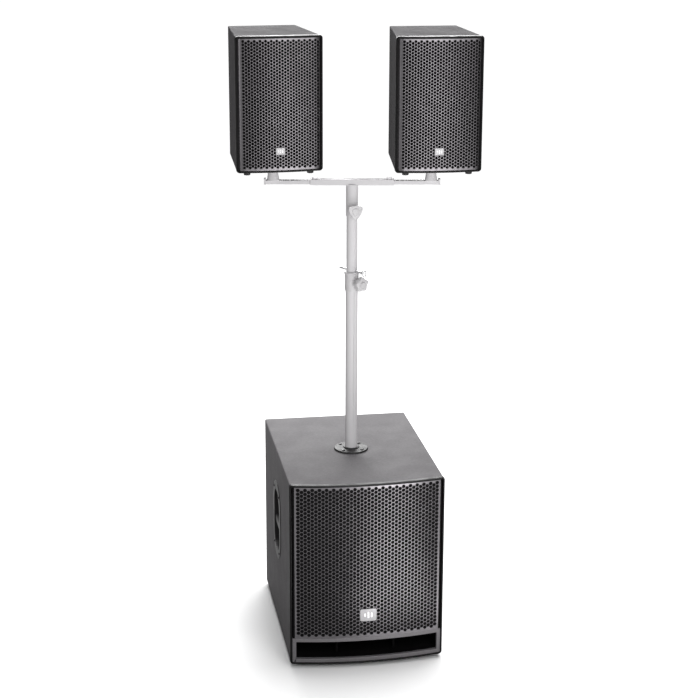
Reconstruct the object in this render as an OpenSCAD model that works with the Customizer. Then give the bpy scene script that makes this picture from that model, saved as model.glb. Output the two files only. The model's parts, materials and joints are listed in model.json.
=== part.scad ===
// Compact active PA system: bass-reflex subwoofer, telescopic pole, crossbar and two satellites.
// Millimetres. +Z is up, -Y is the front, and the origin is on the floor under the pole.

/* [Subwoofer] */
// Width of the wooden cabinet
sub_w = 438; // [420:1:460]
// Height of the wooden cabinet
sub_h = 540; // [520:1:560]
// Overall depth, from the crown of the grille to the rear edges of the sides
sub_d = 616; // [600:1:630]
// Board thickness
board = 15; // [12:1:18]
// How far the front is crowned, edge to centre
sub_crown = 24; // [16:1:30]
// Height of the rubber feet
foot_h = 12; // [10:1:15]
// Height of the port frame
port_frame_h = 74; // [70:1:80]
// Half the distance between the port braces
brace_x = 83; // [75:1:90]
// How far the rear panel is set in
rear_inset = 30; // [28:1:40]

/* [Handles] */
// Height of the handle dish
handle_h = 233; // [220:1:240]
// Width of the handle dish
handle_w = 164; // [150:1:180]
// Height of the middle of the handle above the floor
handle_z = 338; // [330:1:345]

/* [Woofer] */
// Outside diameter of the woofer basket
woofer_d = 384; // [370:1:388]
// Travel of the woofer cone each way
woofer_travel = 8; // [4:1:8]

/* [Stand] */
// Outside diameter of the lower tube
lower_tube_d = 35; // [34:1:38]
// Outside diameter of the upper tube
upper_tube_d = 30; // [28:1:30]
// Height of the top of the collar above the floor
collar_top = 1088; // [1080:1:1100]
// Height of the axis of the crossbar
bar_z = 1347; // [1342:1:1352]
// Length of the crossbar sleeve
sleeve_len = 236; // [230:1:240]
// Distance of each spigot from the pole
spigot_x = 222; // [215:1:224]
// Angle that the crossbar is swivelled to, from above
bar_turn = -9; // [-15:1:15]

/* [Satellites] */
// Width of the front of a satellite cabinet
sat_w = 236; // [230:1:240]
// Width of the rear of a satellite cabinet
sat_rear_w = 193; // [185:1:200]
// Height of a satellite cabinet
sat_h = 366; // [360:1:372]
// Depth of a satellite cabinet side
sat_d = 284; // [270:1:290]
// Height of the underside of a satellite cabinet
sat_z = 1398; // [1394:1:1402]
// Angle that each satellite is turned towards the middle
toe_in = 2.5; // [0:0.5:4]

/* [Hidden] */
$fn = 64;
eps = 0.01;

// Subwoofer
front_y = -sub_d / 2;
rear_y = sub_d / 2;
ring_over = 2;
ring_wall = 6;
ring_depth = 14;
ring_w = sub_w + 2 * ring_over;
ring_h = sub_h + 2 * ring_over;
crown_r = ((ring_w / 2) * (ring_w / 2) + sub_crown * sub_crown) / (2 * sub_crown);
crown_y = front_y + crown_r;
cab_z0 = foot_h;
cab_z1 = foot_h + sub_h;
cab_zc = (cab_z0 + cab_z1) / 2;
side_front_y = crown_y - sqrt((crown_r - ring_depth) * (crown_r - ring_depth) - sub_w * sub_w / 4);
inner_w = sub_w - 2 * board;
rear_panel_y = rear_y - rear_inset;
baffle_y = front_y + 44 + woofer_travel;
port_z0 = cab_z0 + board;
port_z1 = port_z0 + 52;
port_end_y = 140;
brace_t = 6;
brace_front_y = front_y + 50;
shelf_front_y = front_y + 36;
frame_z0 = cab_z0 - ring_over + ring_wall;
frame_z1 = frame_z0 + port_frame_h;
grille_sheet = 1.5;
grille_set = 2;
foam_t = 4;
woofer_z = 315;
woofer_hole_r = 172;
foot_x = 180;
foot_y = 246;

// Handles
handle_depth = 58;
handle_wall = 4;
handle_lip = 2;
handle_rim = 22;
handle_bar_h = 30;
handle_bar_z = handle_z - 16;
handle_y = 10;

// Amplifier
amp_w = 300;
amp_h = 400;
amp_z = cab_zc;
amp_t = 3;
amp_face_y = rear_panel_y + amp_t;
knob_x = [-110, -70, -30];
knob_z = amp_z + 150;
button_x = 16;
switch_x = 66;
inlet_x = 112;
rocker_tilt = 8;
signal_x = [-110, -76, -42, -8];
speaker_x = [70, 112];
socket_z = amp_z + 96;

// Stand
flange_r = 50;
flange_t = 5;
flange_z = cab_z1 + flange_t;
tube_wall = 2;
tube_gap = 0.05;
lower_r = lower_tube_d / 2;
upper_r = upper_tube_d / 2;
lower_top = collar_top - 12;
collar_z0 = collar_top - 56;
upper_bottom = 660;
upper_top = bar_z - 16;
pin_r = 3;
pin_z = collar_top + pin_r + 0.2;
height_knob_z = 1057;
height_knob_r = 22;
height_knob_turn = 32;
height_knob_out = lower_r + 18;
hub_socket_r = 17;
hub_socket_z0 = 1250;
hub_knob_out = hub_socket_r + 13;
bar_h = 16;
bar_t = 25;
arm_h = 11;
arm_t = 18;
arm_z = bar_z - 0.5;
arm_in_x = 54;
arm_out_x = spigot_x + 21;
spigot_r = 14.5;
spigot_top = sat_z + 62;
cross_knob_z = 1268;
cross_knob_turn = 16;
thumb_x = 105;

// Satellites
sat_ring = 6;
sat_ring_over = 2;
sat_ring_depth = 12;
sat_crown = 10;
sat_board = 12;
sat_front_y = -108;
sat_rear_y = sat_front_y + sat_d;
sat_ring_w = sat_w + 2 * sat_ring_over;
sat_ring_h = sat_h + 2 * sat_ring_over;
sat_crown_r = (sat_ring_w * sat_ring_w / 4 + sat_crown * sat_crown) / (2 * sat_crown);
sat_apex_y = sat_front_y - sat_ring_depth - sat_crown;
sat_crown_y = sat_apex_y + sat_crown_r;
sat_zc = sat_z + sat_h / 2;
sat_woofer_z = sat_z + 122;
sat_horn_z = sat_z + 286;
sat_plate_z = sat_z + 105;
sat_baffle_y = sat_front_y + 14;
cup_r = 20;
sat_foot_h = 11;

// ---------------------------------------------------------------- shared shapes

// Rectangle with round corners, centred, in the XY plane
module round_rect(w, h, r) {
    square([w - 2 * r, h], center = true);
    square([w, h - 2 * r], center = true);
    for (sx = [-1, 1], sy = [-1, 1])
        translate([sx * (w / 2 - r), sy * (h / 2 - r)]) circle(r = r);
}

// Extrudes a front-view outline (x, z) from y0 back to y1
module along_y(y0, y1) {
    translate([0, y1, 0]) rotate([90, 0, 0]) linear_extrude(y1 - y0) children();
}

// Extrudes a side-view outline (y, z) from x0 to x1
module along_x(x0, x1) {
    translate([x0, 0, 0]) rotate([90, 0, 90]) linear_extrude(x1 - x0) children();
}

// A box from its lowest and highest corners
module block(a, b) {
    translate(a) cube(b - a);
}

// A round bar along Y, from y0 back to y1
module rod_y(r, y0, y1) {
    translate([0, y1, 0]) rotate([90, 0, 0]) cylinder(r = r, h = y1 - y0);
}

// A round bar along X
module rod_x(r, x0, x1) {
    translate([x0, 0, 0]) rotate([0, 90, 0]) cylinder(r = r, h = x1 - x0);
}

// A turned profile (radius, forward) whose axis runs to the front
module turned_front() {
    rotate([90, 0, 0]) rotate_extrude() children();
}

// Vertical shell that follows the crown of a front, between two depths behind it
module crown_shell(r, y, d0, d1, z0, z1) {
    translate([0, y, z0]) difference() {
        cylinder(r = r - d0, h = z1 - z0, $fn = 256);
        translate([0, 0, -1]) cylinder(r = r - d1, h = z1 - z0 + 2, $fn = 256);
    }
}

// The part of a front-view outline that lies between two depths behind the subwoofer's crown
module sub_front(d0, d1) {
    intersection() {
        along_y(front_y - 5, 0) children();
        crown_shell(crown_r, crown_y, d0, d1, 0, cab_z1 + 20);
    }
}

// The same for a satellite
module sat_front(d0, d1) {
    intersection() {
        along_y(sat_apex_y - 5, 0) children();
        crown_shell(sat_crown_r, sat_crown_y, d0, d1, sat_z - 20, sat_z + sat_h + 20);
    }
}

// A pan head screw along +Z, head above the origin
module pan_screw(head_r, shank_r, len) {
    rotate_extrude() polygon([
        [0, -len], [shank_r, -len], [shank_r, 0], [head_r, 0], [head_r, 1.2],
        [head_r * 0.75, 2.6], [head_r * 0.28, 2.6], [head_r * 0.28, 1.4], [0, 1.4]
    ]);
}

// Clears room for such a screw
module screw_hole(shank_r, len) {
    translate([0, 0, -len]) cylinder(r = shank_r, h = len + 0.5);
}

// A clamp knob with lobes, its face towards +Z; the screw runs down to -screw_len
module lobed_knob(r, lobes, lobe_r, thick, screw_r, screw_len) {
    linear_extrude(thick) {
        circle(r = r * 0.62);
        for (i = [0 : lobes - 1]) rotate(90 + i * 360 / lobes) {
            translate([r - lobe_r, 0]) circle(r = lobe_r);
            translate([0, -lobe_r]) square([r - lobe_r, 2 * lobe_r]);
        }
    }
    translate([0, 0, thick]) cylinder(r1 = r * 0.5, r2 = r * 0.38, h = 3);
    translate([0, 0, -4]) cylinder(r = screw_r + 3, h = 4);
    translate([0, 0, -screw_len]) cylinder(r = screw_r, h = screw_len);
}

// ---------------------------------------------------------------- subwoofer cabinet

// Plan of a horizontal board: full depth, with its front edge following the crown
module sub_board(z0, z1) {
    intersection() {
        block([-sub_w / 2, front_y, z0], [sub_w / 2, rear_y, z1]);
        translate([0, crown_y, z0]) cylinder(r = crown_r - ring_depth, h = z1 - z0, $fn = 256);
    }
}

module sub_top_panel() {
    color("#2e2f31") difference() {
        sub_board(cab_z1 - board, cab_z1);
        translate([0, 0, cab_z1 - board - 1]) cylinder(r = 20, h = board + 2);
        flange_screw_places() screw_hole(1.9, board + 2);
    }
}

module sub_bottom_panel() {
    color("#2e2f31") sub_board(cab_z0, cab_z0 + board);
}

module sub_side_panel(side) {
    x0 = side * sub_w / 2;
    x1 = x0 - side * board;
    color("#2e2f31") difference() {
        block([min(x0, x1), side_front_y, cab_z0 + board], [max(x0, x1), rear_y, cab_z1 - board]);
        along_x(min(x0, x1) - 1, max(x0, x1) + 1)
            translate([handle_y, handle_z]) handle_outline(-handle_rim);
        handle_screw_places(side) screw_hole(1.9, board - 1);
    }
}

module sub_left_panel() {
    sub_side_panel(-1);
}

module sub_right_panel() {
    sub_side_panel(1);
}

module sub_rear_panel() {
    color("#262728") difference() {
        block([-inner_w / 2, rear_panel_y - board, cab_z0 + board],
              [inner_w / 2, rear_panel_y, cab_z1 - board]);
        translate([0, 0, amp_z]) along_y(rear_panel_y - board - 1, rear_panel_y + 1)
            square([amp_w - 36, amp_h - 36], center = true);
        amp_screw_places() screw_hole(1.6, 14);
    }
}

module sub_baffle() {
    color("#1c1c1d") difference() {
        block([-inner_w / 2, baffle_y, port_z1 + board], [inner_w / 2, baffle_y + board, cab_z1 - board]);
        translate([0, 0, woofer_z]) rod_y(woofer_hole_r, baffle_y - 1, baffle_y + board + 1);
        woofer_screw_places() screw_hole(2.4, board + 8);
    }
}

// Shelf over the reflex slot, and two upright braces in the slot
module sub_port_boards() {
    color("#1c1c1d") {
        block([-inner_w / 2, shelf_front_y, port_z1], [inner_w / 2, port_end_y, port_z1 + board]);
        for (s = [-1, 1])
            block([s * brace_x - brace_t / 2, brace_front_y, port_z0],
                  [s * brace_x + brace_t / 2, port_end_y, port_z1]);
    }
}

module sub_bezel() {
    color("#111112") sub_front(0, ring_depth) difference() {
        translate([0, cab_zc]) round_rect(ring_w, ring_h, 9);
        sub_ring_inner();
    }
}

// Outline of the inside of the bezel ring
module sub_ring_inner() {
    translate([0, cab_zc]) round_rect(ring_w - 2 * ring_wall, ring_h - 2 * ring_wall, 5);
}

module sub_port_frame() {
    frame_w = ring_w - 2 * ring_wall;
    color("#3a3b3d") difference() {
        sub_front(grille_set, ring_depth + 6) difference() {
            intersection() {
                translate([-frame_w / 2, frame_z0]) square([frame_w, port_frame_h]);
                sub_ring_inner();
            }
            translate([-inner_w / 2, port_z0]) square([inner_w, port_z1 - port_z0]);
        }
        // the corners behind the ring clear the side boards
        block([-sub_w, side_front_y, 0], [-inner_w / 2, 0, frame_z1 + 1]);
        block([inner_w / 2, side_front_y, 0], [sub_w, 0, frame_z1 + 1]);
        translate([0, crown_y, 0]) cylinder(r = crown_r - ring_depth, h = port_z0, $fn = 256);
        block([-sub_w, shelf_front_y - 2, port_z1], [sub_w, 0, frame_z1 + 1]);
    }
}

// Perforated sheet between the bezel and the port frame
module sub_grille() {
    grille_w = ring_w - 2 * ring_wall - 1;
    color("#242526") sub_front(grille_set, grille_set + grille_sheet) intersection() {
        translate([-grille_w / 2, frame_z1]) square([grille_w, sub_h]);
        sub_ring_inner();
    }
}

module sub_foam() {
    foam_w = ring_w - 2 * ring_wall - 5;
    foam_d = grille_set + grille_sheet + 0.2;
    color("#0c0c0c") sub_front(foam_d, foam_d + foam_t)
        translate([-foam_w / 2, frame_z1 + 2])
            square([foam_w, cab_z1 + ring_over - ring_wall - frame_z1 - 4]);
}

module sub_badge() {
    color("#8f9092") sub_front(0, grille_set)
        translate([0, frame_z1 + 69]) round_rect(48, 38, 6);
}

module sub_feet() {
    color("#141414") for (sx = [-1, 1], sy = [-1, 1])
        translate([sx * foot_x, sy * foot_y, 0]) rotate_extrude() polygon([
            [0, 0], [17, 0], [19, 2], [21, foot_h], [0, foot_h]
        ]);
}

// ---------------------------------------------------------------- handles

// Outline of the handle dish, grown by d
module handle_outline(d) {
    round_rect(handle_w + 2 * d, handle_h + 2 * d, 74 + d);
}

// Screw places around the rim, heads outwards
module handle_screw_places(side) {
    for (sy = [-1, 1], sz = [-1, 1])
        translate([side * (sub_w / 2 + handle_lip), handle_y + sy * 52.5, handle_z + sz * 88.5])
            rotate([0, side * 90, 0]) children();
}

module handle(side) {
    lip_x = side * (sub_w / 2 + handle_lip);
    face_x = side * sub_w / 2;
    back_x = side * (sub_w / 2 - handle_depth);
    bar_x = side * (sub_w / 2 - 22);
    color("#1b1b1c") difference() {
        union() {
            // flange that covers the cut in the board
            along_x(min(face_x, lip_x), max(face_x, lip_x))
                translate([handle_y, handle_z]) handle_outline(0);
            // body of the dish behind it
            along_x(min(face_x, back_x), max(face_x, back_x))
                translate([handle_y, handle_z]) handle_outline(-handle_rim);
        }
        difference() {
            along_x(min(lip_x, back_x + side * handle_wall) - 1, max(lip_x, back_x + side * handle_wall) + 1)
                translate([handle_y, handle_z]) handle_outline(-handle_rim - handle_wall);
            // back of the dish
            along_x(min(back_x, back_x + side * handle_wall), max(back_x, back_x + side * handle_wall))
                translate([handle_y, handle_z]) handle_outline(0);
            // grip bar, rounded above and below
            along_y(handle_y - handle_w / 2, handle_y + handle_w / 2)
                translate([(lip_x + bar_x) / 2 - side * 2, handle_bar_z])
                    round_rect(20, handle_bar_h, 9);
        }
        handle_screw_places(side) screw_hole(2.2, 6);
    }
}

module left_handle() {
    handle(-1);
}

module right_handle() {
    handle(1);
}

module handle_screws() {
    color("#3c3c3e") for (side = [-1, 1])
        handle_screw_places(side) pan_screw(4, 1.8, 13);
}

// ---------------------------------------------------------------- woofer

module at_woofer() {
    translate([0, baffle_y, woofer_z]) children();
}

module woofer_screw_places() {
    at_woofer() for (i = [0 : 7])
        rotate([0, 22.5 + i * 45, 0]) translate([0, -8, woofer_d / 2 - 9]) rotate([90, 0, 0]) children();
}

// Flange, bowl and rear ring, with windows between the spokes
module woofer_basket() {
    r = woofer_d / 2;
    color("#222223") at_woofer() difference() {
        turned_front() polygon([
            [r - 26, 0], [r, 0], [r, 8], [r - 19.8, 8], [r - 19.8, 2], [r - 26, 2]
        ]);
        for (i = [0 : 7]) rotate([0, 22.5 + i * 45, 0])
            translate([0, 1, r - 9]) rotate([90, 0, 0]) cylinder(r = 2.5, h = 12);
    }
    color("#222223") at_woofer() difference() {
        turned_front() polygon([
            [r - 26, 0], [r - 24, 0], [r - 24, -8], [118, -96], [96, -96], [96, -102], [66, -102],
            [66, -99], [92, -99], [92, -92], [116, -92], [r - 27, -8]
        ]);
        for (i = [0 : 5]) rotate([0, i * 60, 0])
            block([-34, 18, 112], [34, 84, 180]);
    }
}

module woofer_cone() {
    color("#151516") at_woofer() turned_front() polygon([
        [0, -42], [30, -46], [52, -58], [54, -62], [148, 2], [149.7, 2], [149.7, 0.6], [56, -66],
        [50, -66], [50, -90], [49, -90], [49, -60], [30, -48], [0, -44]
    ]);
}

module woofer_surround() {
    color("#0d0d0d") at_woofer() turned_front() difference() {
        union() {
            translate([161, 3]) circle(r = 10.5);
            translate([150, 2]) square([22, 1.6]);
        }
        translate([161, 3]) circle(r = 9);
        translate([145, -20]) square([32, 22]);
        translate([152.2, 1]) square([17.6, 3]);
    }
}

module woofer_magnet() {
    color("#2b2b2d") at_woofer() turned_front() difference() {
        polygon([
            [0, -168], [70, -168], [74, -164], [74, -158], [92, -158], [92, -124], [80, -124], [80, -102],
            [52, -102], [52, -150], [46.5, -150], [46.5, -100], [0, -100]
        ]);
        translate([0, -170]) square([14, 80]);
    }
}

module woofer_screws() {
    color("#3c3c3e") woofer_screw_places() pan_screw(5, 2.3, 18);
}

// ---------------------------------------------------------------- amplifier

module amp_screw_places() {
    for (sx = [-1, 1], i = [0 : 3])
        translate([sx * (amp_w / 2 - 9), amp_face_y, amp_z + (i - 1.5) * (amp_h - 24) / 3])
            rotate([-90, 0, 0]) children();
}

// A hole through the plate, at x and z
module plate_hole(x, z, r) {
    translate([x, 0, z]) rod_y(r, rear_panel_y - 1, amp_face_y + 1);
}

module amp_plate() {
    color("#3b3c3e") difference() {
        translate([0, 0, amp_z]) along_y(rear_panel_y, amp_face_y) round_rect(amp_w, amp_h, 6);
        for (x = knob_x) plate_hole(x, knob_z, 3.6);
        for (x = signal_x) plate_hole(x, socket_z, 12);
        for (x = speaker_x) plate_hole(x, socket_z, 12);
        translate([switch_x, 0, knob_z]) along_y(rear_panel_y - 1, amp_face_y + 1)
            square([21.6, 29.8], center = true);
        translate([inlet_x, 0, knob_z - 1]) along_y(rear_panel_y - 1, amp_face_y + 1)
            square([29.8, 25.8], center = true);
        plate_hole(button_x, knob_z, 4.5);
        amp_screw_places() screw_hole(2, 6);
    }
}

// Base and a row of upright fins
module amp_heatsink() {
    fins = 17;
    pitch = 15;
    color("#1d1e1f") {
        block([-126, amp_face_y, amp_z - 180], [126, amp_face_y + 6, amp_z + 50]);
        for (i = [0 : fins - 1])
            block([-121.5 + i * pitch, amp_face_y + 6 - eps, amp_z - 180],
                  [-118.5 + i * pitch, rear_y - 4, amp_z + 50]);
    }
}

// Toroidal transformer on its bracket, and the circuit board, behind the plate
module amp_transformer() {
    y1 = rear_panel_y;
    color("#7a4a22") translate([0, y1 - 52, amp_z - 110]) rotate([-90, 0, 0]) difference() {
        cylinder(r = 55, h = 52);
        translate([0, 0, -1]) cylinder(r = 16, h = 54);
    }
    color("#1f5130") block([-110, y1 - 40, amp_z - 20], [110, y1 - 38, amp_z + 170]);
    color("#8a8c8e") for (sx = [-1, 1], sz = [-1, 1])
        translate([sx * 88, 0, amp_z + 75 + sz * 85]) rod_y(3, y1 - 38, y1);
}

// Skirted knob with a pointer rib and its shaft, axis to the rear
module rotary_knob(x) {
    color("#161617") translate([x, amp_face_y, knob_z]) rotate([-90, 0, 0]) {
        translate([0, 0, 0.6]) cylinder(r1 = 9, r2 = 8.4, h = 4);
        translate([0, 0, 4.6]) cylinder(r1 = 7, r2 = 6.4, h = 11);
        translate([-0.7, -8.2, 4.4]) cube([1.4, 8, 11.6]);
        translate([0, 0, -12]) cylinder(r = 3.5, h = 13);
    }
}

module sub_level_knob() {
    rotary_knob(knob_x[0]);
}

module satellite_level_knob() {
    rotary_knob(knob_x[1]);
}

module crossover_knob() {
    rotary_knob(knob_x[2]);
}

// Rocker of the mains switch, pivoted on the plane of the plate; rests with its upper end out
module power_switch() {
    color("#101010") translate([switch_x, amp_face_y, knob_z]) rotate([-rocker_tilt, 0, 0])
        difference() {
            union() {
                along_y(-5, 4) square([17, 25], center = true);
                rod_x(2, -10.2, 10.2);
            }
            translate([0, 24, 0]) rod_x(21, -12, 12);
        }
}

module phase_button() {
    color("#101010") translate([button_x, amp_face_y, knob_z]) rotate([-90, 0, 0]) {
        translate([0, 0, -8]) cylinder(r = 4.4, h = 13);
        translate([0, 0, -amp_t - 2.6]) cylinder(r = 5.5, h = 2.5);
    }
}

// Shell of the mains inlet with three flat pins, and the housing of the switch beside it
module mains_inlet() {
    color("#121212") translate([switch_x, 0, knob_z]) difference() {
        union() {
            along_y(amp_face_y, amp_face_y + 1.5) round_rect(25, 34, 3);
            along_y(amp_face_y - 18, amp_face_y) square([21.4, 29.6], center = true);
        }
        along_y(amp_face_y - 16, amp_face_y + 3) square([18.4, 27], center = true);
        translate([0, amp_face_y, 0]) rod_x(2.05, -12, 12);
    }
    color("#121212") translate([inlet_x, 0, knob_z - 1]) {
        difference() {
            union() {
                along_y(amp_face_y, amp_face_y + 2) round_rect(46, 34, 3);
                along_y(amp_face_y - 24, amp_face_y) square([29.6, 25.6], center = true);
            }
            along_y(amp_face_y - 21, amp_face_y + 3) round_rect(25, 20, 4);
        }
        for (p = [[-7, -2], [0, 3], [7, -2]])
            translate([p[0], 0, p[1]]) block([-1, amp_face_y - 21.5, -2], [1, amp_face_y - 11.5, 2]);
    }
}

// A round panel socket: square flange, barrel through the plate, open mouth with a core deep in it
module round_socket(x, z, mouth_r, core_r) {
    color("#161617") translate([x, 0, z]) difference() {
        union() {
            along_y(amp_face_y, amp_face_y + 2) round_rect(29, 31, 4);
            rod_y(11.9, amp_face_y - 20, amp_face_y + 1);
        }
        difference() {
            rod_y(mouth_r, amp_face_y - 16, amp_face_y + 3);
            rod_y(core_r, amp_face_y - 17, amp_face_y - 9);
        }
    }
}

module signal_sockets() {
    for (x = signal_x) round_socket(x, socket_z, 9.6, 2);
}

module speaker_sockets() {
    for (x = speaker_x) round_socket(x, socket_z, 10.2, 4.4);
}

module amp_screws() {
    color("#2d2d2f") amp_screw_places() pan_screw(4, 1.55, 13);
}

// ---------------------------------------------------------------- stand

module flange_screw_places() {
    for (i = [0 : 3]) rotate(45 + i * 90) translate([flange_r - 11, 0, flange_z]) children();
}

module pole_flange() {
    color("#1a1a1b") difference() {
        rotate_extrude() polygon([
            [0, cab_z1 - 42], [23, cab_z1 - 42], [23, cab_z1 - board],  [20, cab_z1 - board],
            [20, cab_z1], [flange_r, cab_z1], [flange_r, flange_z - 1.5], [flange_r - 1.5, flange_z],
            [lower_r + 6, flange_z], [lower_r + 5, flange_z + 3], [0, flange_z + 3]
        ]);
        // seat of the lower tube, and the bore for its threaded end
        translate([0, 0, flange_z - 1]) cylinder(r = lower_r, h = 20);
        translate([0, 0, cab_z1 - 37]) cylinder(r = 10, h = 60);
        flange_screw_places() screw_hole(2.6, 20);
    }
}

module flange_screws() {
    color("#8b8d90") flange_screw_places() pan_screw(5, 1.85, 15);
}

module lower_tube() {
    color("#b9bbbd") difference() {
        union() {
            translate([0, 0, flange_z - 1]) cylinder(r = lower_r, h = lower_top - flange_z + 1);
            translate([0, 0, cab_z1 - 33]) cylinder(r = 9.9, h = 40);
        }
        translate([0, 0, flange_z + 12]) cylinder(r = lower_r - tube_wall, h = lower_top);
        at_height_knob() translate([0, 0, -height_knob_out]) cylinder(r = 5, h = height_knob_out);
    }
}

// Moulded collar: holds the top of the lower tube and guides the upper tube
module collar() {
    color("#17181a") difference() {
        union() {
            rotate_extrude() polygon([
                [0, collar_z0], [lower_r + 1.6, collar_z0], [lower_r + 2.2, collar_z0 + 2],
                [lower_r + 2.2, collar_top - 8], [lower_r + 3.6, collar_top - 6],
                [lower_r + 3.6, collar_top - 2], [lower_r + 1.6, collar_top], [0, collar_top]
            ]);
            at_height_knob() translate([0, 0, 16 - height_knob_out]) cylinder(r1 = 12.5, r2 = 10, h = 13);
        }
        translate([0, 0, collar_z0 - 1]) cylinder(r = lower_r, h = lower_top - collar_z0 + 1);
        translate([0, 0, collar_z0]) cylinder(r = upper_r + tube_gap, h = 100);
        at_height_knob() translate([0, 0, -height_knob_out]) cylinder(r = 4.05, h = 60);
    }
}

// Origin at the inner face of the height knob, axis outwards to the front and right
module at_height_knob() {
    translate([0, 0, height_knob_z]) rotate([0, 0, height_knob_turn]) rotate([90, 0, 0])
        translate([0, 0, height_knob_out]) children();
}

module height_knob() {
    color("#141415") at_height_knob() lobed_knob(height_knob_r, 5, 8, 13, 4, height_knob_out - upper_r - 0.4);
}

// Upper tube, with a guide ring at its foot and a row of cross holes
module upper_tube() {
    color("#c4c6c8") difference() {
        union() {
            translate([0, 0, upper_bottom]) cylinder(r = upper_r, h = upper_top - upper_bottom);
            translate([0, 0, upper_bottom]) cylinder(r = lower_r - tube_wall - tube_gap, h = 24);
        }
        translate([0, 0, upper_bottom - 1])
            cylinder(r = upper_r - tube_wall, h = upper_top - upper_bottom + 2);
        for (i = [0 : 5])
            at_pin() translate([0, 0, -i * 60]) rod_x(pin_r + tube_gap, -20, 20);
    }
}

// Origin on the axis of the safety pin, +X towards its head, parallel to the height knob
module at_pin() {
    translate([0, 0, pin_z]) rotate([0, 0, height_knob_turn - 90]) children();
}

// Pin through the upper tube, with a pull ring on its head
module safety_pin() {
    ring_r = 8;
    color("#8e9194") at_pin() {
        rod_x(pin_r, -50, 44);
        rod_x(4.4, 41, 46);
        translate([53, 0, 0]) rotate([90, 0, 0]) rotate_extrude() translate([ring_r, 0]) circle(r = 1.5);
    }
}

// The frame of the crossbar, which is swivelled about the pole
module at_crossbar() {
    rotate([0, 0, bar_turn]) children();
}

// Socket tube over the upper tube, and the square sleeve across its top
module crossbar_hub() {
    z0 = bar_z - bar_h / 2;
    color("#c4c6c8") at_crossbar() difference() {
        union() {
            translate([0, 0, hub_socket_z0]) cylinder(r = hub_socket_r, h = z0 - hub_socket_z0 + 2);
            block([-sleeve_len / 2, -bar_t / 2, z0], [sleeve_len / 2, bar_t / 2, bar_z + bar_h / 2]);
            at_cross_knob() translate([0, 0, -14]) cylinder(r1 = 13, r2 = 9, h = 9.5);
        }
        translate([0, 0, hub_socket_z0 - 1])
            cylinder(r = upper_r + tube_gap, h = upper_top - hub_socket_z0 + 1.2);
        for (s = [-1, 1])
            block([s > 0 ? 3 : -sleeve_len, -arm_t / 2 - 0.1, arm_z - arm_h / 2 - 0.1],
                  [s > 0 ? sleeve_len : -3, arm_t / 2 + 0.1, arm_z + arm_h / 2 + 0.1]);
        at_cross_knob() translate([0, 0, -hub_knob_out]) cylinder(r = 4.05, h = 40);
        for (s = [-1, 1]) translate([s * thumb_x, 0, arm_z]) cylinder(r = 3.05, h = 30);
    }
}

// Origin at the inner face of the crossbar knob, axis to the front and right of the crossbar
module at_cross_knob() {
    translate([0, 0, cross_knob_z]) rotate([0, 0, cross_knob_turn]) rotate([90, 0, 0])
        translate([0, 0, hub_knob_out]) children();
}

// Flat knob with three bowed sides, one corner down
module crossbar_knob() {
    bow_r = 90;
    flat = 16.5;
    corner_r = 4;
    color("#8d9093") at_crossbar() at_cross_knob() {
        linear_extrude(9) offset(r = corner_r) intersection_for(i = [0 : 2]) rotate(-90 + i * 120)
            translate([bow_r - flat, 0]) circle(r = bow_r - corner_r, $fn = 256);
        translate([0, 0, 9 - eps]) cylinder(r1 = 11, r2 = 8, h = 2);
        translate([0, 0, -4]) cylinder(r = 7, h = 4 + eps);
        translate([0, 0, upper_r + 0.4 - hub_knob_out]) cylinder(r = 4, h = hub_knob_out - upper_r);
    }
}

// Telescopic arm with an end lip, a flared seat and the spigot for a satellite
module arm(side) {
    x0 = side > 0 ? arm_in_x : -arm_out_x;
    x1 = side > 0 ? arm_out_x : -arm_in_x;
    lip0 = side > 0 ? arm_out_x : -arm_out_x - 5;
    seat_z = arm_z + arm_h / 2;
    color("#c4c6c8") at_crossbar() {
        block([x0, -arm_t / 2, arm_z - arm_h / 2], [x1, arm_t / 2, seat_z]);
        block([lip0, -arm_t / 2 - 1, arm_z - arm_h / 2 - 1], [lip0 + 5, arm_t / 2 + 1, seat_z + 5]);
        translate([side * spigot_x, 0, 0]) rotate_extrude() polygon([
            [0, arm_z], [8, arm_z], [8, seat_z], [17.5, seat_z], [17, seat_z + 3],
            [spigot_r, seat_z + 20], [spigot_r, spigot_top - 3], [spigot_r - 3, spigot_top],
            [0, spigot_top]
        ]);
    }
}

module left_arm() {
    arm(-1);
}

module right_arm() {
    arm(1);
}

// Screw with a domed head that clamps an arm in the sleeve
module thumbscrew(side) {
    top = bar_z + bar_h / 2;
    color("#a9abad") at_crossbar() translate([side * thumb_x, 0, 0]) {
        rotate_extrude() translate([0, top + 0.5]) intersection() {
            translate([0, -5]) circle(r = 12);
            square([8.5, 7]);
        }
        translate([0, 0, arm_z + arm_h / 2 + 0.2])
            cylinder(r = 3, h = top - arm_z - arm_h / 2 + 1);
    }
}

module left_thumbscrew() {
    thumbscrew(-1);
}

module right_thumbscrew() {
    thumbscrew(1);
}

// ---------------------------------------------------------------- satellites

module at_satellite(side) {
    rotate([0, 0, bar_turn]) translate([side * spigot_x, 0, 0])
        rotate([0, 0, -bar_turn - side * toe_in]) children();
}

// Plan of the cabinet between two depths, narrowed by d on each side
module sat_plan(d, y0, y1) {
    function half(y) = sat_w / 2 - (sat_w - sat_rear_w) / 2 * (y - sat_front_y) / sat_d - d;
    polygon([[-half(y0), y0], [half(y0), y0], [half(y1), y1], [-half(y1), y1]]);
}

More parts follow.
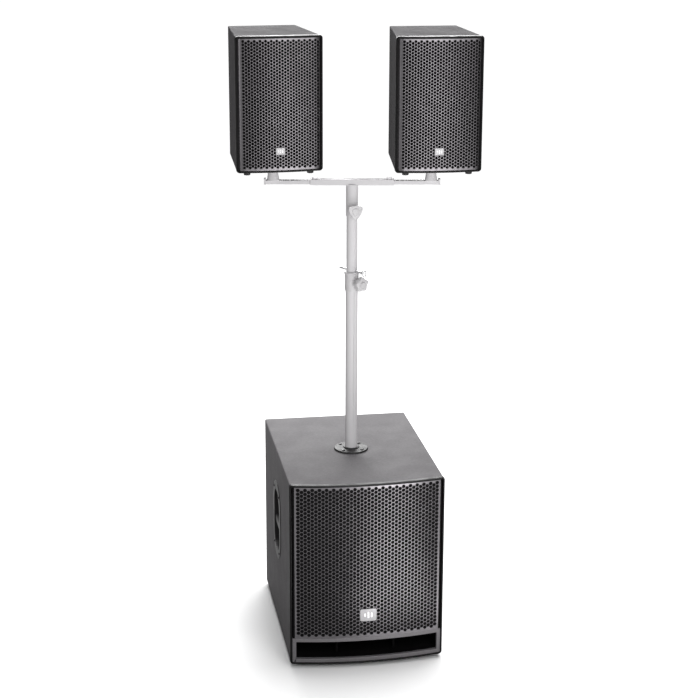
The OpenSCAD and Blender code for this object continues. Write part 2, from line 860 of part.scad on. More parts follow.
module sat_cabinet(side) {
    color("#1f2022") at_satellite(side) difference() {
        translate([0, 0, sat_z]) linear_extrude(sat_h) sat_plan(0, sat_front_y, sat_rear_y);
        // recess in front of the baffle, and the chamber behind it
        sat_pocket(sat_front_y - 1, sat_baffle_y);
        sat_pocket(sat_baffle_y + sat_board, sat_rear_y - sat_board);
        // pole cup, terminal plate, driver and horn
        translate([0, 0, sat_z - 1]) cylinder(r = cup_r, h = sat_board + 2);
        translate([0, 0, sat_plate_z]) along_y(sat_rear_y - sat_board - 1, sat_rear_y + 1)
            square([84, 60], center = true);
        translate([0, 0, sat_woofer_z]) rod_y(92, sat_baffle_y - 1, sat_baffle_y + sat_board + 1);
        translate([0, 0, sat_horn_z]) along_y(sat_baffle_y - 1, sat_baffle_y + sat_board + 1)
            square([150, 70], center = true);
    }
}

// Room between the boards, from one depth to another
module sat_pocket(y0, y1) {
    translate([0, 0, sat_z + sat_board]) linear_extrude(sat_h - 2 * sat_board)
        sat_plan(sat_board, y0, y1);
}

module sat_bezel(side) {
    color("#111112") at_satellite(side) sat_front_ring();
}

// Ring whose back is flat against the boards and whose front is crowned
module sat_front_ring() {
    intersection() {
        along_y(sat_apex_y - 5, sat_front_y) difference() {
            translate([0, sat_zc]) round_rect(sat_ring_w, sat_ring_h, 9);
            translate([0, sat_zc]) round_rect(sat_ring_w - 2 * sat_ring, sat_ring_h - 2 * sat_ring, 5);
        }
        translate([0, sat_crown_y, sat_z - 20]) cylinder(r = sat_crown_r, h = sat_h + 40, $fn = 256);
    }
}

module sat_grille(side) {
    w = sat_ring_w - 2 * sat_ring - 1;
    h = sat_ring_h - 2 * sat_ring - 1;
    color("#242526") at_satellite(side) sat_front(1.5, 2.7)
        translate([0, sat_zc]) round_rect(w, h, 5);
}

// Horn flare in its flange, with the compression driver behind it
module sat_horn(side) {
    color("#131314") at_satellite(side) translate([0, sat_baffle_y, sat_horn_z]) {
        difference() {
            along_y(-4, 0) round_rect(190, 96, 8);
            translate([0, 1, 0]) horn_throat();
            for (sx = [-1, 1], sz = [-1, 1])
                translate([sx * 86, 1, sz * 39]) rod_y(2.2, -10, 2);
        }
        difference() {
            along_y(-eps, 62) square([112, 58], center = true);
            translate([0, 1, 0]) horn_throat();
        }
        translate([0, 62, 0]) rotate([-90, 0, 0]) cylinder(r = 38, h = 30);
    }
}

module horn_throat() {
    for (i = [0 : 3])
        along_y(-6, 12 + i * 14) square([106 - i * 24, 50 - i * 8], center = true);
    rod_y(12, 0, 60);
}

module at_sat_woofer(side) {
    at_satellite(side) translate([0, sat_baffle_y, sat_woofer_z]) children();
}

// Basket with its magnet and the surround
module sat_driver(side) {
    color("#202021") at_sat_woofer(side) {
        turned_front() polygon([
            [80, 3], [92, 0], [102, 0], [102, 5], [95, 5], [90, 8], [84, 8], [80.4, 4.4]
        ]);
        turned_front() polygon([
            [88, -eps], [91.5, -eps], [91.5, -6], [62, -58], [36, -58], [36, -55], [60, -55], [88, -6]
        ]);
        turned_front() difference() {
            polygon([
                [0, -92], [41, -92], [44, -89], [44, -66], [42, -66], [42, -58], [27, -58], [27, -84],
                [23.6, -84], [23.6, -56], [0, -56]
            ]);
            translate([0, -93]) square([7, 40]);
        }
    }
}

module sat_cone(side) {
    color("#151516") at_sat_woofer(side) turned_front() polygon([
        [0, -22], [16, -24], [27, -31], [78.5, 3.2], [79.7, 3.2], [79.7, 1.6], [28, -34],
        [26, -34], [26, -50], [25, -50], [25, -32], [16, -26], [0, -24]
    ]);
}

// Pole cup, terminal plate with two sockets, rubber feet and the badge
module sat_fittings(side) {
    at_satellite(side) {
        color("#2a2a2c") difference() {
            union() {
                translate([0, 0, sat_z - 2]) cylinder(r = 30, h = 2);
                translate([0, 0, sat_z - eps]) cylinder(r = cup_r, h = spigot_top - sat_z + 4);
            }
            translate([0, 0, sat_z - 3]) cylinder(r = spigot_r + tube_gap, h = spigot_top - sat_z + 3.2);
        }
        color("#1a1a1b") difference() {
            union() {
                translate([0, 0, sat_plate_z]) along_y(sat_rear_y, sat_rear_y + 2) round_rect(104, 80, 6);
                for (s = [-1, 1])
                    translate([s * 24, 0, sat_plate_z]) rod_y(14, sat_rear_y - 20, sat_rear_y + 1);
            }
            for (s = [-1, 1]) translate([s * 24, 0, sat_plate_z]) difference() {
                rod_y(10.2, sat_rear_y - 16, sat_rear_y + 3);
                rod_y(4.4, sat_rear_y - 17, sat_rear_y - 9);
            }
        }
        color("#141414") for (sx = [-1, 1], y = [sat_front_y + 11, sat_rear_y - 24])
            translate([sx * (y < 0 ? 88 : 66), y, sat_z - sat_foot_h])
                cylinder(r1 = 8.5, r2 = 10, h = sat_foot_h);
        color("#8f9092") sat_front(-0.8, 1.4) translate([0, sat_z + 57]) round_rect(26, 20, 4);
    }
}

module left_cabinet() {
    sat_cabinet(-1);
}

module left_bezel() {
    sat_bezel(-1);
}

module left_grille() {
    sat_grille(-1);
}

module left_horn() {
    sat_horn(-1);
}

module left_driver() {
    sat_driver(-1);
}

module left_cone() {
    sat_cone(-1);
}

module left_fittings() {
    sat_fittings(-1);
}

module right_cabinet() {
    sat_cabinet(1);
}

module right_bezel() {
    sat_bezel(1);
}

module right_grille() {
    sat_grille(1);
}

module right_horn() {
    sat_horn(1);
}

module right_driver() {
    sat_driver(1);
}

module right_cone() {
    sat_cone(1);
}

module right_fittings() {
    sat_fittings(1);
}

// ---------------------------------------------------------------- parts

sub_top_panel();
sub_bottom_panel();
sub_left_panel();
sub_right_panel();
sub_rear_panel();
sub_baffle();
sub_port_boards();
sub_bezel();
sub_port_frame();
sub_grille();
sub_foam();
sub_badge();
left_handle();
right_handle();
handle_screws();
sub_feet();
pole_flange();
flange_screws();
woofer_basket();
woofer_cone();
woofer_surround();
woofer_magnet();
woofer_screws();
amp_plate();
amp_heatsink();
amp_transformer();
sub_level_knob();
satellite_level_knob();
crossover_knob();
power_switch();
phase_button();
mains_inlet();
signal_sockets();
speaker_sockets();
amp_screws();
lower_tube();
collar();
height_knob();
upper_tube();
safety_pin();
crossbar_hub();
crossbar_knob();
left_arm();
right_arm();
left_thumbscrew();
right_thumbscrew();
left_cabinet();
left_bezel();
left_grille();
left_horn();
left_driver();
left_cone();
left_fittings();
right_cabinet();
right_bezel();
right_grille();
right_horn();
right_driver();
right_cone();
right_fittings();
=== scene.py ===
"""Looks of the active PA system: subwoofer, telescopic pole, crossbar and two satellites.

Geometry is written in millimetres, in the CAD frame: +Z up, -Y to the front, floor at zero.
Lights and the camera are placed in metres.
"""
import json
import math

import bmesh
import bpy
from mathutils import Matrix, Vector


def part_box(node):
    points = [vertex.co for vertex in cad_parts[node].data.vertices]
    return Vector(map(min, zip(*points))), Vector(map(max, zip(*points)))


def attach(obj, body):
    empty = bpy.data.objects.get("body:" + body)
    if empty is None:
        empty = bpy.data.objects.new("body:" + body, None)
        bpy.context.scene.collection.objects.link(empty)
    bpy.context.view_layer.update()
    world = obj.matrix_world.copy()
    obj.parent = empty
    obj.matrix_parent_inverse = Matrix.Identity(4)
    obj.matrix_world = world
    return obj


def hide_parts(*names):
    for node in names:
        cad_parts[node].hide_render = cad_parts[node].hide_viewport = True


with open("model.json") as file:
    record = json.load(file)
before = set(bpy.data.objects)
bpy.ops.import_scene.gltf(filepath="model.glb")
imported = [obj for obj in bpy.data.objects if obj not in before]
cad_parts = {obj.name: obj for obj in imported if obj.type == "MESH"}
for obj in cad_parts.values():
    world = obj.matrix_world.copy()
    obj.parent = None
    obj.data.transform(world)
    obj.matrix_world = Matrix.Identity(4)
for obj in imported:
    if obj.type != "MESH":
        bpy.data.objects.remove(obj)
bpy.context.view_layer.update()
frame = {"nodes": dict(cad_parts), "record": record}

NODES = frame["nodes"]
MM = 0.001
SIDES = (("left", -1), ("right", 1))

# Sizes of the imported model, in millimetres
SUB_W, SUB_H, SUB_REAR = 438, 540, 308
BOARD = 15
CAB_Z0, CAB_Z1 = 12, 552
CAB_ZC = (CAB_Z0 + CAB_Z1) / 2
SUB_CROWN, RING_OVER, RING_DEPTH = 24, 2, 14
HANDLE_Y, HANDLE_Z, HANDLE_W, HANDLE_H = 10, 338, 164, 233
AMP_FACE, AMP_Z = 281, 282
KNOB_X, KNOB_Z = (-110, -70, -30), 432
SWITCH_X, INLET_X = 66, 112
SIGNAL_X, SPEAKER_X, SOCKET_Z = (-110, -76, -42, -8), (70, 112), 378
BAR_TURN, SPIGOT_X, TOE_IN = -9, 222, 2.5
SAT_W, SAT_H, SAT_FRONT, SAT_REAR = 236, 366, -108, 176
SAT_CROWN, SAT_RING_DEPTH = 10, 12
SAT_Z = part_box("left_cabinet")[0].z / MM
SAT_ZC = SAT_Z + SAT_H / 2
SAT_BAFFLE = SAT_FRONT + 14
HORN_Z, TERMINAL_Z, SAT_BADGE_Z = SAT_Z + 286, SAT_Z + 105, SAT_Z + 57
HEIGHT_KNOB_Z, CROSS_KNOB_Z, CROSS_KNOB_TURN = 1057, 1268, 16
THUMB_X, THUMB_Z = 105, 1355.5


def crowned(half_width, rise, apex):
    """The y of a crowned front at x, some depth behind its face."""
    radius = (half_width**2 + rise**2) / (2 * rise)

    def surface(x, depth):
        return apex + radius - math.sqrt((radius - depth) ** 2 - x * x)

    return surface


sub_front = crowned(SUB_W / 2 + RING_OVER, SUB_CROWN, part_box("sub_bezel")[0].y / MM)
sat_front = crowned(SAT_W / 2 + RING_OVER, SAT_CROWN, SAT_FRONT - SAT_RING_DEPTH - SAT_CROWN)


def turn(axis, degrees):
    return Matrix.Rotation(math.radians(degrees), 4, axis)


def shift(x, y, z):
    return Matrix.Translation((x * MM, y * MM, z * MM))


AT_BAR = turn("Z", BAR_TURN)


def at_satellite(side):
    """Place of a satellite on its spigot, with its toe-in."""
    return AT_BAR @ shift(side * SPIGOT_X, 0, 0) @ turn("Z", -BAR_TURN - side * TOE_IN)


TO_REAR = turn("X", -90)
TO_FRONT = turn("X", 90)


# ------------------------------------------------------------------ materials

class Finish:
    """A procedural material, built around one Principled shader."""

    def __init__(self, name, color, rough, metallic=0.0, specular=0.5):
        self.mat = bpy.data.materials.new(name)
        self.mat.use_nodes = True
        self.tree = self.mat.node_tree
        self.tree.nodes.clear()
        self.bsdf = self.node("ShaderNodeBsdfPrincipled")
        out = self.node("ShaderNodeOutputMaterial")
        self.tree.links.new(self.bsdf.outputs[0], out.inputs["Surface"])
        self.place = self.node("ShaderNodeTexCoord").outputs["Object"]
        self.color = self.value_color(color)
        self.rough = rough
        self.height = None
        self.bsdf.inputs["Metallic"].default_value = metallic
        self.bsdf.inputs["Specular IOR Level"].default_value = specular

    def value_color(self, color):
        """A colour as four numbers; a plain number is a grey with a faint magenta cast."""
        if isinstance(color, (int, float)):
            tint = 0.012 if color > 0.3 else 0.035
            color = (color * (1 + tint), color * (1 - tint / 2), color * (1 + tint))
        return (*color, 1.0)

    def node(self, kind, **props):
        n = self.tree.nodes.new(kind)
        for k, v in props.items():
            setattr(n, k, v)
        return n

    def put(self, socket, value):
        if isinstance(value, bpy.types.NodeSocket):
            self.tree.links.new(value, socket)
        else:
            socket.default_value = value

    def math(self, op, a, b=0.0):
        n = self.node("ShaderNodeMath", operation=op)
        self.put(n.inputs[0], a)
        self.put(n.inputs[1], b)
        return n.outputs[0]

    def ramp(self, value, low, high, to_low=0.0, to_high=1.0):
        n = self.node("ShaderNodeMapRange", interpolation_type="SMOOTHSTEP")
        for i, v in enumerate((value, low, high, to_low, to_high)):
            self.put(n.inputs[i], v)
        return n.outputs[0]

    def mix(self, factor, a, b):
        n = self.node("ShaderNodeMix", data_type="RGBA")
        self.put(n.inputs[0], factor)
        self.put(n.inputs[6], a)
        self.put(n.inputs[7], b)
        return n.outputs[2]

    def stretched(self, scale):
        """Object coordinates scaled along each axis, which draws a pattern out into lines."""
        n = self.node("ShaderNodeMapping")
        self.put(n.inputs["Vector"], self.place)
        n.inputs["Scale"].default_value = scale
        return n.outputs[0]

    def noise(self, scale, detail=3.0, stretch=None, rough=0.55):
        n = self.node("ShaderNodeTexNoise")
        self.put(n.inputs["Vector"], self.stretched(stretch) if stretch else self.place)
        n.inputs["Scale"].default_value = scale
        n.inputs["Detail"].default_value = detail
        n.inputs["Roughness"].default_value = rough
        return n.outputs["Fac"]

    def cells(self, scale, feature="F1"):
        n = self.node("ShaderNodeTexVoronoi", feature=feature)
        self.put(n.inputs["Vector"], self.place)
        n.inputs["Scale"].default_value = scale
        return n.outputs["Distance"]

    def tone(self, scale, amount, stretch=None):
        """Lighter and darker patches."""
        patch = self.ramp(self.noise(scale, 4, stretch), 0.3, 0.7, 1 - amount, 1 + amount)
        n = self.node("ShaderNodeVectorMath", operation="SCALE")
        self.put(n.inputs[0], self.color if not isinstance(self.color, tuple) else self.color[:3])
        self.put(n.inputs["Scale"], patch)
        self.color = n.outputs[0]
        return self

    def blotch(self, scale, low, high):
        """Roughness that varies from patch to patch."""
        self.rough = self.ramp(self.noise(scale, 4), 0.3, 0.7, low, high)
        return self

    def bump(self, field, depth):
        """Adds a height field; depth is in millimetres."""
        scaled = self.math("MULTIPLY", field, depth * MM)
        self.height = scaled if self.height is None else self.math("ADD", self.height, scaled)
        return self

    def edges(self, color, radius=2.0, amount=0.7, scale=45):
        """Paint or plastic rubbed thin along the edges, in patches; on bare metal the lighter edges are also
        a painted highlight.
        """
        soft = self.node("ShaderNodeBevel", samples=4)
        soft.inputs["Radius"].default_value = radius * MM
        true = self.node("ShaderNodeNewGeometry").outputs["Normal"]
        dot = self.node("ShaderNodeVectorMath", operation="DOT_PRODUCT")
        self.put(dot.inputs[0], soft.outputs[0])
        self.put(dot.inputs[1], true)
        edge = self.ramp(dot.outputs["Value"], 0.995, 0.86, 0.0, 1.0)
        patch = self.ramp(self.noise(scale, 6, rough=0.7), 0.42, 0.66, 0.0, amount)
        self.color = self.mix(self.math("MULTIPLY", edge, patch), self.color, self.value_color(color))
        return self

    def dust_and_top_shade(self, color=0.22, amount=0.12, scale=30):
        """Pale grime that settles on what faces up; laid on densely, as on the pole paint, it is painted
        shade that darkens the tops.
        """
        normal = self.node("ShaderNodeSeparateXYZ")
        self.put(normal.inputs[0], self.node("ShaderNodeNewGeometry").outputs["Normal"])
        up = self.ramp(normal.outputs[2], 0.6, 1.0)
        patch = self.ramp(self.noise(scale, 6, rough=0.65), 0.35, 0.75, 0.0, amount)
        self.color = self.mix(self.math("MULTIPLY", up, patch), self.color, self.value_color(color))
        return self

    def scratches(self, color, stretch, scale=60, amount=0.5, cut=0.70):
        """Sparse fine lines along one direction."""
        line = self.ramp(self.noise(scale, 2, stretch), cut, cut + 0.05, 0.0, amount)
        patch = self.ramp(self.noise(7, 2), 0.45, 0.6)
        self.color = self.mix(self.math("MULTIPLY", line, patch), self.color, self.value_color(color))
        return self

    def done(self):
        if not isinstance(self.color, tuple):
            self.put(self.bsdf.inputs["Base Color"], self.color)
        else:
            self.bsdf.inputs["Base Color"].default_value = self.color
        self.put(self.bsdf.inputs["Roughness"], self.rough)
        if self.height is not None:
            n = self.node("ShaderNodeBump")
            n.inputs["Strength"].default_value = 1.0
            n.inputs["Distance"].default_value = 1.0
            self.put(n.inputs["Height"], self.height)
            self.put(self.bsdf.inputs["Normal"], n.outputs[0])
        return self.mat


def structured_paint(name, color, specular):
    """Sprayed texture paint on plywood: small hard droplets over a rolled base."""
    f = Finish(name, color, 0.7, specular=specular).tone(3, 0.03).tone(160, 0.08)
    f.blotch(14, 0.70, 0.78)
    drops = f.ramp(f.cells(520, "SMOOTH_F1"), 0.15, 0.55, 1.0, 0.0)
    f.bump(drops, 0.05).bump(f.noise(1400, 2), 0.03).bump(f.noise(90, 3), 0.05)
    f.scratches(0.09, (1, 0.12, 1), 55, 0.25, 0.72)
    return f.dust_and_top_shade(0.2, 0.03).edges(0.11, 3.0, 0.4).done()


def moulded(name, color, low, high, grain=1500, worn=0.09, depth=0.02, specular=0.5):
    """Injection moulded plastic with a spark-eroded grain."""
    f = Finish(name, color, 0.4, specular=specular).tone(9, 0.08).tone(300, 0.10).blotch(25, low, high)
    f.bump(f.noise(grain, 2), depth).bump(f.noise(60, 2), 0.04)
    return f.scratches(worn, (1, 1, 0.15), 80, 0.25, 0.72).dust_and_top_shade(0.16, 0.08).edges(worn, 1.2, 0.5, 80).done()


def brushed(name, color, low, high, along=(1, 40, 40), metallic=1.0):
    """Metal with fine parallel marks, and lighter edges that are partly rubbed shiny and partly a painted
    highlight.
    """
    f = Finish(name, color, 0.35, metallic).tone(8, 0.06)
    f.rough = f.ramp(f.noise(60, 4, along), 0.3, 0.7, low, high)
    f.bump(f.noise(90, 3, along), 0.01)
    # edges lighter than the metal: partly rubbed shiny, partly a painted highlight along the edges
    edge_highlight = [min(1.0, c * 1.6) for c in f.value_color(color)[:3]]
    return f.tone(60, 0.10, along).edges(edge_highlight, 0.8, 0.4).done()


def coated_steel(name, color, low, high, worn=0.25, peel=700, depth=0.03, metallic=0.0):
    """Powder coat with orange peel, worn to bare metal at a few edges."""
    f = Finish(name, color, 0.4, metallic).tone(8, 0.07).tone(220, 0.08).blotch(30, low, high)
    f.bump(f.noise(peel, 2), depth).bump(f.noise(120, 2), 0.04)
    return f.edges(worn, 0.8, 0.45, 70).done()


def pole_paint():
    """Pale coat, nearly matt: rub marks round and along the tubes, and a dense grey layer on top that is
    painted shade, darkening the tops.
    """
    f = Finish("pole_paint", POLE_TONE, 0.5, specular=0.01)
    f.tone(3, 0.03, (1, 1, 0.3)).blotch(18, 0.36, 0.46)
    f.bump(f.noise(420, 2), 0.03)
    f.scratches((0.38, 0.385, 0.39), (1, 1, 0.03), 120, 0.22, 0.68)
    f.scratches((0.40, 0.40, 0.41), (0.05, 0.05, 1), 260, 0.12, 0.7)
    # a dense grey layer on every up-facing face: painted shade that darkens the tops of the tubes and the bar
    return f.dust_and_top_shade(0.29, 3.0, 30).edges(0.44, 0.6, 0.3).done()


def foam(name, color):
    """Open-cell foam: pits with thin walls, the pits painted darker than the walls as painted shade."""
    f = Finish(name, color, 0.95, specular=0.02).tone(20, 0.2)
    pits = f.cells(900)
    # pits darker, thin walls lighter: painted shade in the pits
    f.color = f.mix(f.ramp(pits, 0.1, 0.5), f.color, f.value_color(color * 3.2))
    return f.bump(pits, 0.6).bump(f.noise(200, 3), 0.2).done()


def rubber(name, color):
    """Dull rubber with a fine pebbled skin."""
    f = Finish(name, color, 0.75, specular=0.35).tone(30, 0.15).blotch(50, 0.62, 0.85)
    f.bump(f.noise(700, 3), 0.05).bump(f.cells(260), 0.04)
    return f.dust_and_top_shade(0.14, 0.25, 90).edges(0.05, 1.0, 0.6).done()


def pulp(name, color):
    """Pressed paper cone: fibres and a doped sheen."""
    f = Finish(name, color, 0.6, specular=0.35).tone(40, 0.2).blotch(60, 0.45, 0.7)
    f.color = f.mix(f.ramp(f.noise(900, 4, (1, 1, 0.2)), 0.5, 0.75), f.color, f.value_color(color * 2.2))
    return f.bump(f.noise(800, 4, (1, 1, 0.25)), 0.15).bump(f.noise(150, 3), 0.2).done()


def plywood(name, color):
    """Black-stained board whose grain still shows; its near-black tone is also painted shade inside the
    cabinet and the port.
    """
    f = Finish(name, color, 0.8, specular=0.03).tone(6, 0.2)
    grain = f.noise(28, 6, (1, 14, 14), 0.7)
    f.color = f.mix(f.ramp(grain, 0.45, 0.8), f.color, f.value_color(color * 2.4))
    return f.blotch(20, 0.7, 0.85).bump(grain, 0.15).edges(color * 4, 1.5, 0.4).done()


def windings(name, color):
    """Varnished copper wire, turn beside turn."""
    f = Finish(name, color, 0.4, metallic=0.6).tone(30, 0.2).blotch(50, 0.3, 0.5)
    turns = f.noise(500, 1, (0.2, 1, 0.2))
    return f.bump(turns, 0.5).edges((0.2, 0.1, 0.04), 1.0, 0.4).done()


def ink(name, color):
    """Screen print: a little uneven, with a dry edge."""
    f = Finish(name, color, 0.6).tone(400, 0.12).tone(40, 0.06).blotch(60, 0.5, 0.7)
    return f.bump(f.noise(1500, 2), 0.01).done()


# How much light the main finishes send back, from 0 to 1
CABINET_TONE, SATELLITE_TONE, GRILLE_TONE, POLE_TONE = 0.089, 0.060, 0.18, 0.58

M = {
    "cabinet_paint": structured_paint("cabinet_paint", CABINET_TONE, 0.3),
    "satellite_paint": structured_paint("satellite_paint", SATELLITE_TONE, 0.02),
    # near-black stain, dark enough to be painted shade inside the port and the cabinet
    "inner_board": plywood("inner_board", 0.004),
    "bezel_plastic": moulded("bezel_plastic", 0.006, 0.34, 0.44, worn=0.03, specular=0.12),
    "port_plastic": moulded("port_plastic", 0.13, 0.38, 0.5, worn=0.22),
    "grille_steel": coated_steel("grille_steel", GRILLE_TONE, 0.28, 0.33, worn=0.16, metallic=0.85),
    "satellite_grille": coated_steel("satellite_grille", GRILLE_TONE * 0.9, 0.33, 0.39, worn=0.2,
                                     metallic=0.85),
    # black foam made darker than foam is, so that it is also painted shade behind the grille holes
    "grille_foam": foam("grille_foam", 0.002),
    "badge_plate": brushed("badge_plate", (0.25, 0.245, 0.25), 0.35, 0.5),
    "badge_mark": ink("badge_mark", (0.86, 0.86, 0.87)),
    "handle_plastic": moulded("handle_plastic", 0.016, 0.36, 0.5),
    "black_screw": coated_steel("black_screw", 0.02, 0.25, 0.4, worn=0.29),
    "foot_rubber": rubber("foot_rubber", 0.014),
    "flange_steel": coated_steel("flange_steel", 0.012, 0.5, 0.62, worn=0.2),
    "zinc_steel": brushed("zinc_steel", (0.72, 0.72, 0.73), 0.25, 0.4, (30, 30, 1)),
    "basket_steel": coated_steel("basket_steel", 0.02, 0.3, 0.45),
    "cone_paper": pulp("cone_paper", 0.018),
    "surround_foam": foam("surround_foam", 0.010),
    "magnet_iron": coated_steel("magnet_iron", 0.05, 0.45, 0.65, worn=0.2, peel=300, depth=0.08),
    "amp_panel": brushed("amp_panel", (0.075, 0.077, 0.082), 0.32, 0.46, (1, 60, 60), 0.75),
    "heatsink_black": brushed("heatsink_black", (0.028, 0.028, 0.03), 0.35, 0.5, (40, 40, 1), 0.6),
    "transformer_copper": windings("transformer_copper", (0.45, 0.25, 0.12)),
    "knob_plastic": moulded("knob_plastic", 0.016, 0.3, 0.45, 1100),
    "socket_plastic": moulded("socket_plastic", 0.012, 0.2, 0.32, 2200, depth=0.01),
    "pole_paint": pole_paint(),
    "collar_plastic": moulded("collar_plastic", 0.53, 0.4, 0.5, worn=0.5),
    "grey_knob": moulded("grey_knob", 0.52, 0.36, 0.48, worn=0.58),
    "pale_knob": moulded("pale_knob", 0.88, 0.36, 0.48, worn=0.92),
    "horn_plastic": moulded("horn_plastic", 0.02, 0.3, 0.42),
    "driver_steel": coated_steel("driver_steel", 0.02, 0.3, 0.45),
    "fitting_plastic": moulded("fitting_plastic", 0.02, 0.32, 0.45),
    "panel_ink": ink("panel_ink", (0.62, 0.63, 0.64)),
    "contact_metal": brushed("contact_metal", (0.62, 0.56, 0.42), 0.2, 0.32, (30, 1, 30)),
}

# ------------------------------------------------------------------ CAD nodes

record_slots = {s["node"]: s["material_slot"] for s in frame["record"]["subparts"]}
# Edge rounding of the CAD nodes that stay in the visual model, in millimetres
BEVELS = {
    "sub_bezel": 0.9, "sub_port_frame": 1.3, "sub_port_boards": 1.6, "left_handle": 0.8,
    "right_handle": 0.8, "sub_feet": 0.9, "pole_flange": 0.7, "left_cabinet": 2.4,
    "right_cabinet": 2.4, "crossbar_hub": 0.9, "left_arm": 0.8, "right_arm": 0.8, "collar": 0.6,
    "amp_heatsink": 0.4, "mains_inlet": 0.25, "power_switch": 0.5,
    "phase_button": 0.4, "lower_tube": 0.4,
}


def soften(obj, width):
    """Rounds the sharp edges of a CAD node with modifiers, which leave its mesh as it is."""
    weld = obj.modifiers.new("weld", "WELD")
    weld.merge_threshold = 0.00001
    bevel = obj.modifiers.new("bevel", "BEVEL")
    bevel.width = width * MM
    bevel.segments = 3
    bevel.limit_method = "ANGLE"
    bevel.angle_limit = math.radians(38)
    bevel.use_clamp_overlap = False
    bevel.miter_outer = "MITER_ARC"
    normals = obj.modifiers.new("normals", "WEIGHTED_NORMAL")
    normals.keep_sharp = False


for name, obj in NODES.items():
    for held in obj.material_slots:
        held.material = M[record_slots[name]]
    if name in BEVELS:
        soften(obj, BEVELS[name])

# ------------------------------------------------------------------ mesh tools


class Shape:
    """Collects closed lofts, then becomes one Blender piece."""

    def __init__(self):
        self.bm = bmesh.new()

    def loft(self, rings, loop=False, matrix=Matrix.Identity(4)):
        """Joins rings of equally many points; loop ties the last to the first, else both ends are capped."""
        made = [[self.bm.verts.new(matrix @ Vector([c * MM for c in p])) for p in r] for r in rings]
        n = len(made[0])
        pairs = list(zip(made, made[1:]))
        if loop:
            pairs.append((made[-1], made[0]))
        for a, b in pairs:
            for i in range(n):
                k = (i + 1) % n
                self.bm.faces.new((a[i], a[k], b[k], b[i]))
        if not loop:
            self.bm.faces.new(made[0][::-1])
            self.bm.faces.new(made[-1])
        return self

    def turned(self, profile, matrix=Matrix.Identity(4), steps=48, flute=None):
        """Turns (radius, height) points about Z; flute(angle, radius) may bend the radius."""
        rings = []
        for r, z in profile:
            ring = []
            for i in range(steps):
                a = 2 * math.pi * i / steps
                rr = flute(a, r) if flute else r
                ring.append((rr * math.cos(a), rr * math.sin(a), z))
            rings.append(ring)
        return self.loft(rings, False, matrix)

    def layers(self, outline, levels, matrix=Matrix.Identity(4)):
        """Stacks an outline, outline(inset) -> points, at (inset, height) levels."""
        return self.loft([[(x, y, z) for x, y in outline(inset)] for inset, z in levels], False, matrix)

    def box(self, lo, hi, matrix=Matrix.Identity(4)):
        (x0, y0, z0), (x1, y1, z1) = lo, hi
        rings = [[(x0, y0, z), (x1, y0, z), (x1, y1, z), (x0, y1, z)] for z in (z0, z1)]
        return self.loft(rings, False, matrix)

    def make(self, name, body, slot, material=None, matrix=None, replaces=(), sharp=32, cuts=()):
        """Welds the lofts into one named piece, cuts it and hands it to its body."""
        bm = self.bm
        bmesh.ops.remove_doubles(bm, verts=bm.verts, dist=1e-7)
        bmesh.ops.dissolve_degenerate(bm, edges=bm.edges, dist=1e-7)
        bmesh.ops.recalc_face_normals(bm, faces=bm.faces)
        mesh = bpy.data.meshes.new(name)
        bm.to_mesh(mesh)
        bm.free()
        obj = bpy.data.objects.new(name, mesh)
        bpy.context.scene.collection.objects.link(obj)
        for cutter in cuts:
            obj = carve(obj, cutter)
        obj.data.shade_smooth()
        obj.data.set_sharp_from_angle(angle=math.radians(sharp))
        obj.data.materials.clear()
        obj.data.materials.append(M[material or slot])
        if matrix is not None:
            obj.matrix_world = matrix
        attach(obj, body)
        if replaces:
            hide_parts(*replaces)
        return obj


def carve(obj, cutter):
    """Cuts a closed Shape out of obj."""
    bmesh.ops.recalc_face_normals(cutter.bm, faces=cutter.bm.faces)
    mesh = bpy.data.meshes.new("cutter")
    cutter.bm.to_mesh(mesh)
    cutter.bm.free()
    tool = bpy.data.objects.new("cutter", mesh)
    bpy.context.scene.collection.objects.link(tool)
    modifier = obj.modifiers.new("cut", "BOOLEAN")
    modifier.operation = "DIFFERENCE"
    modifier.solver = "EXACT"
    modifier.object = tool
    bpy.context.view_layer.update()
    graph = bpy.context.evaluated_depsgraph_get()
    result = bpy.data.meshes.new_from_object(obj.evaluated_get(graph))
    obj.modifiers.clear()
    obj.data = result
    bpy.data.objects.remove(tool)
    return obj


def rounded(w, h, r, corner=8, across=1, up=1, centre=(0, 0)):
    """outline(inset) of a rectangle with round corners, always with the same number of points."""

    def outline(inset=0.0):
        ww, hh, rr = w / 2 - inset, h / 2 - inset, max(r - inset, 0.4)
        corners = [(ww - rr, hh - rr, 0), (rr - ww, hh - rr, 90),
                   (rr - ww, rr - hh, 180), (ww - rr, rr - hh, 270)]
        points = []
        for i, (cx, cy, start) in enumerate(corners):
            arc = [(cx + rr * math.cos(math.radians(start + 90 * k / corner)),
                    cy + rr * math.sin(math.radians(start + 90 * k / corner))) for k in range(corner + 1)]
            points += arc
            nx, ny, nstart = corners[(i + 1) % 4]
            end = (nx + rr * math.cos(math.radians(nstart)), ny + rr * math.sin(math.radians(nstart)))
            parts = across if i % 2 == 0 else up
            for k in range(1, parts):
                t = k / parts
                points.append((arc[-1][0] * (1 - t) + end[0] * t, arc[-1][1] * (1 - t) + end[1] * t))
        return [(x + centre[0], y + centre[1]) for x, y in points]

    return outline


def crossed_screw(shape, matrix, head, rise, shank, length):
    """A pan head with a cross recess: a domed cap whose top is lofted down into a four-lobed star."""
    steps = 48
    profile = ((0, -length, 0), (shank, -length, 0), (shank, 0, 0), (head, 0, 0), (head, rise * 0.45, 0),
               (head * 0.9, rise * 0.8, 0), (head * 0.7, rise, 0), (head * 0.6, rise, 1),
               (head * 0.5, rise * 0.35, 1), (0, rise * 0.3, 0))
    rings = []
    for r, z, crossed in profile:
        ring = []
        for i in range(steps):
            a = 2 * math.pi * i / steps
            lobe = 0.26 + 0.74 * abs(math.cos(2 * a)) ** 6
            rr = r * (lobe if crossed else 1)
            ring.append((rr * math.cos(a), rr * math.sin(a), z))
        rings.append(ring)
    shape.loft(rings, False, matrix)


# ------------------------------------------------------------------ subwoofer

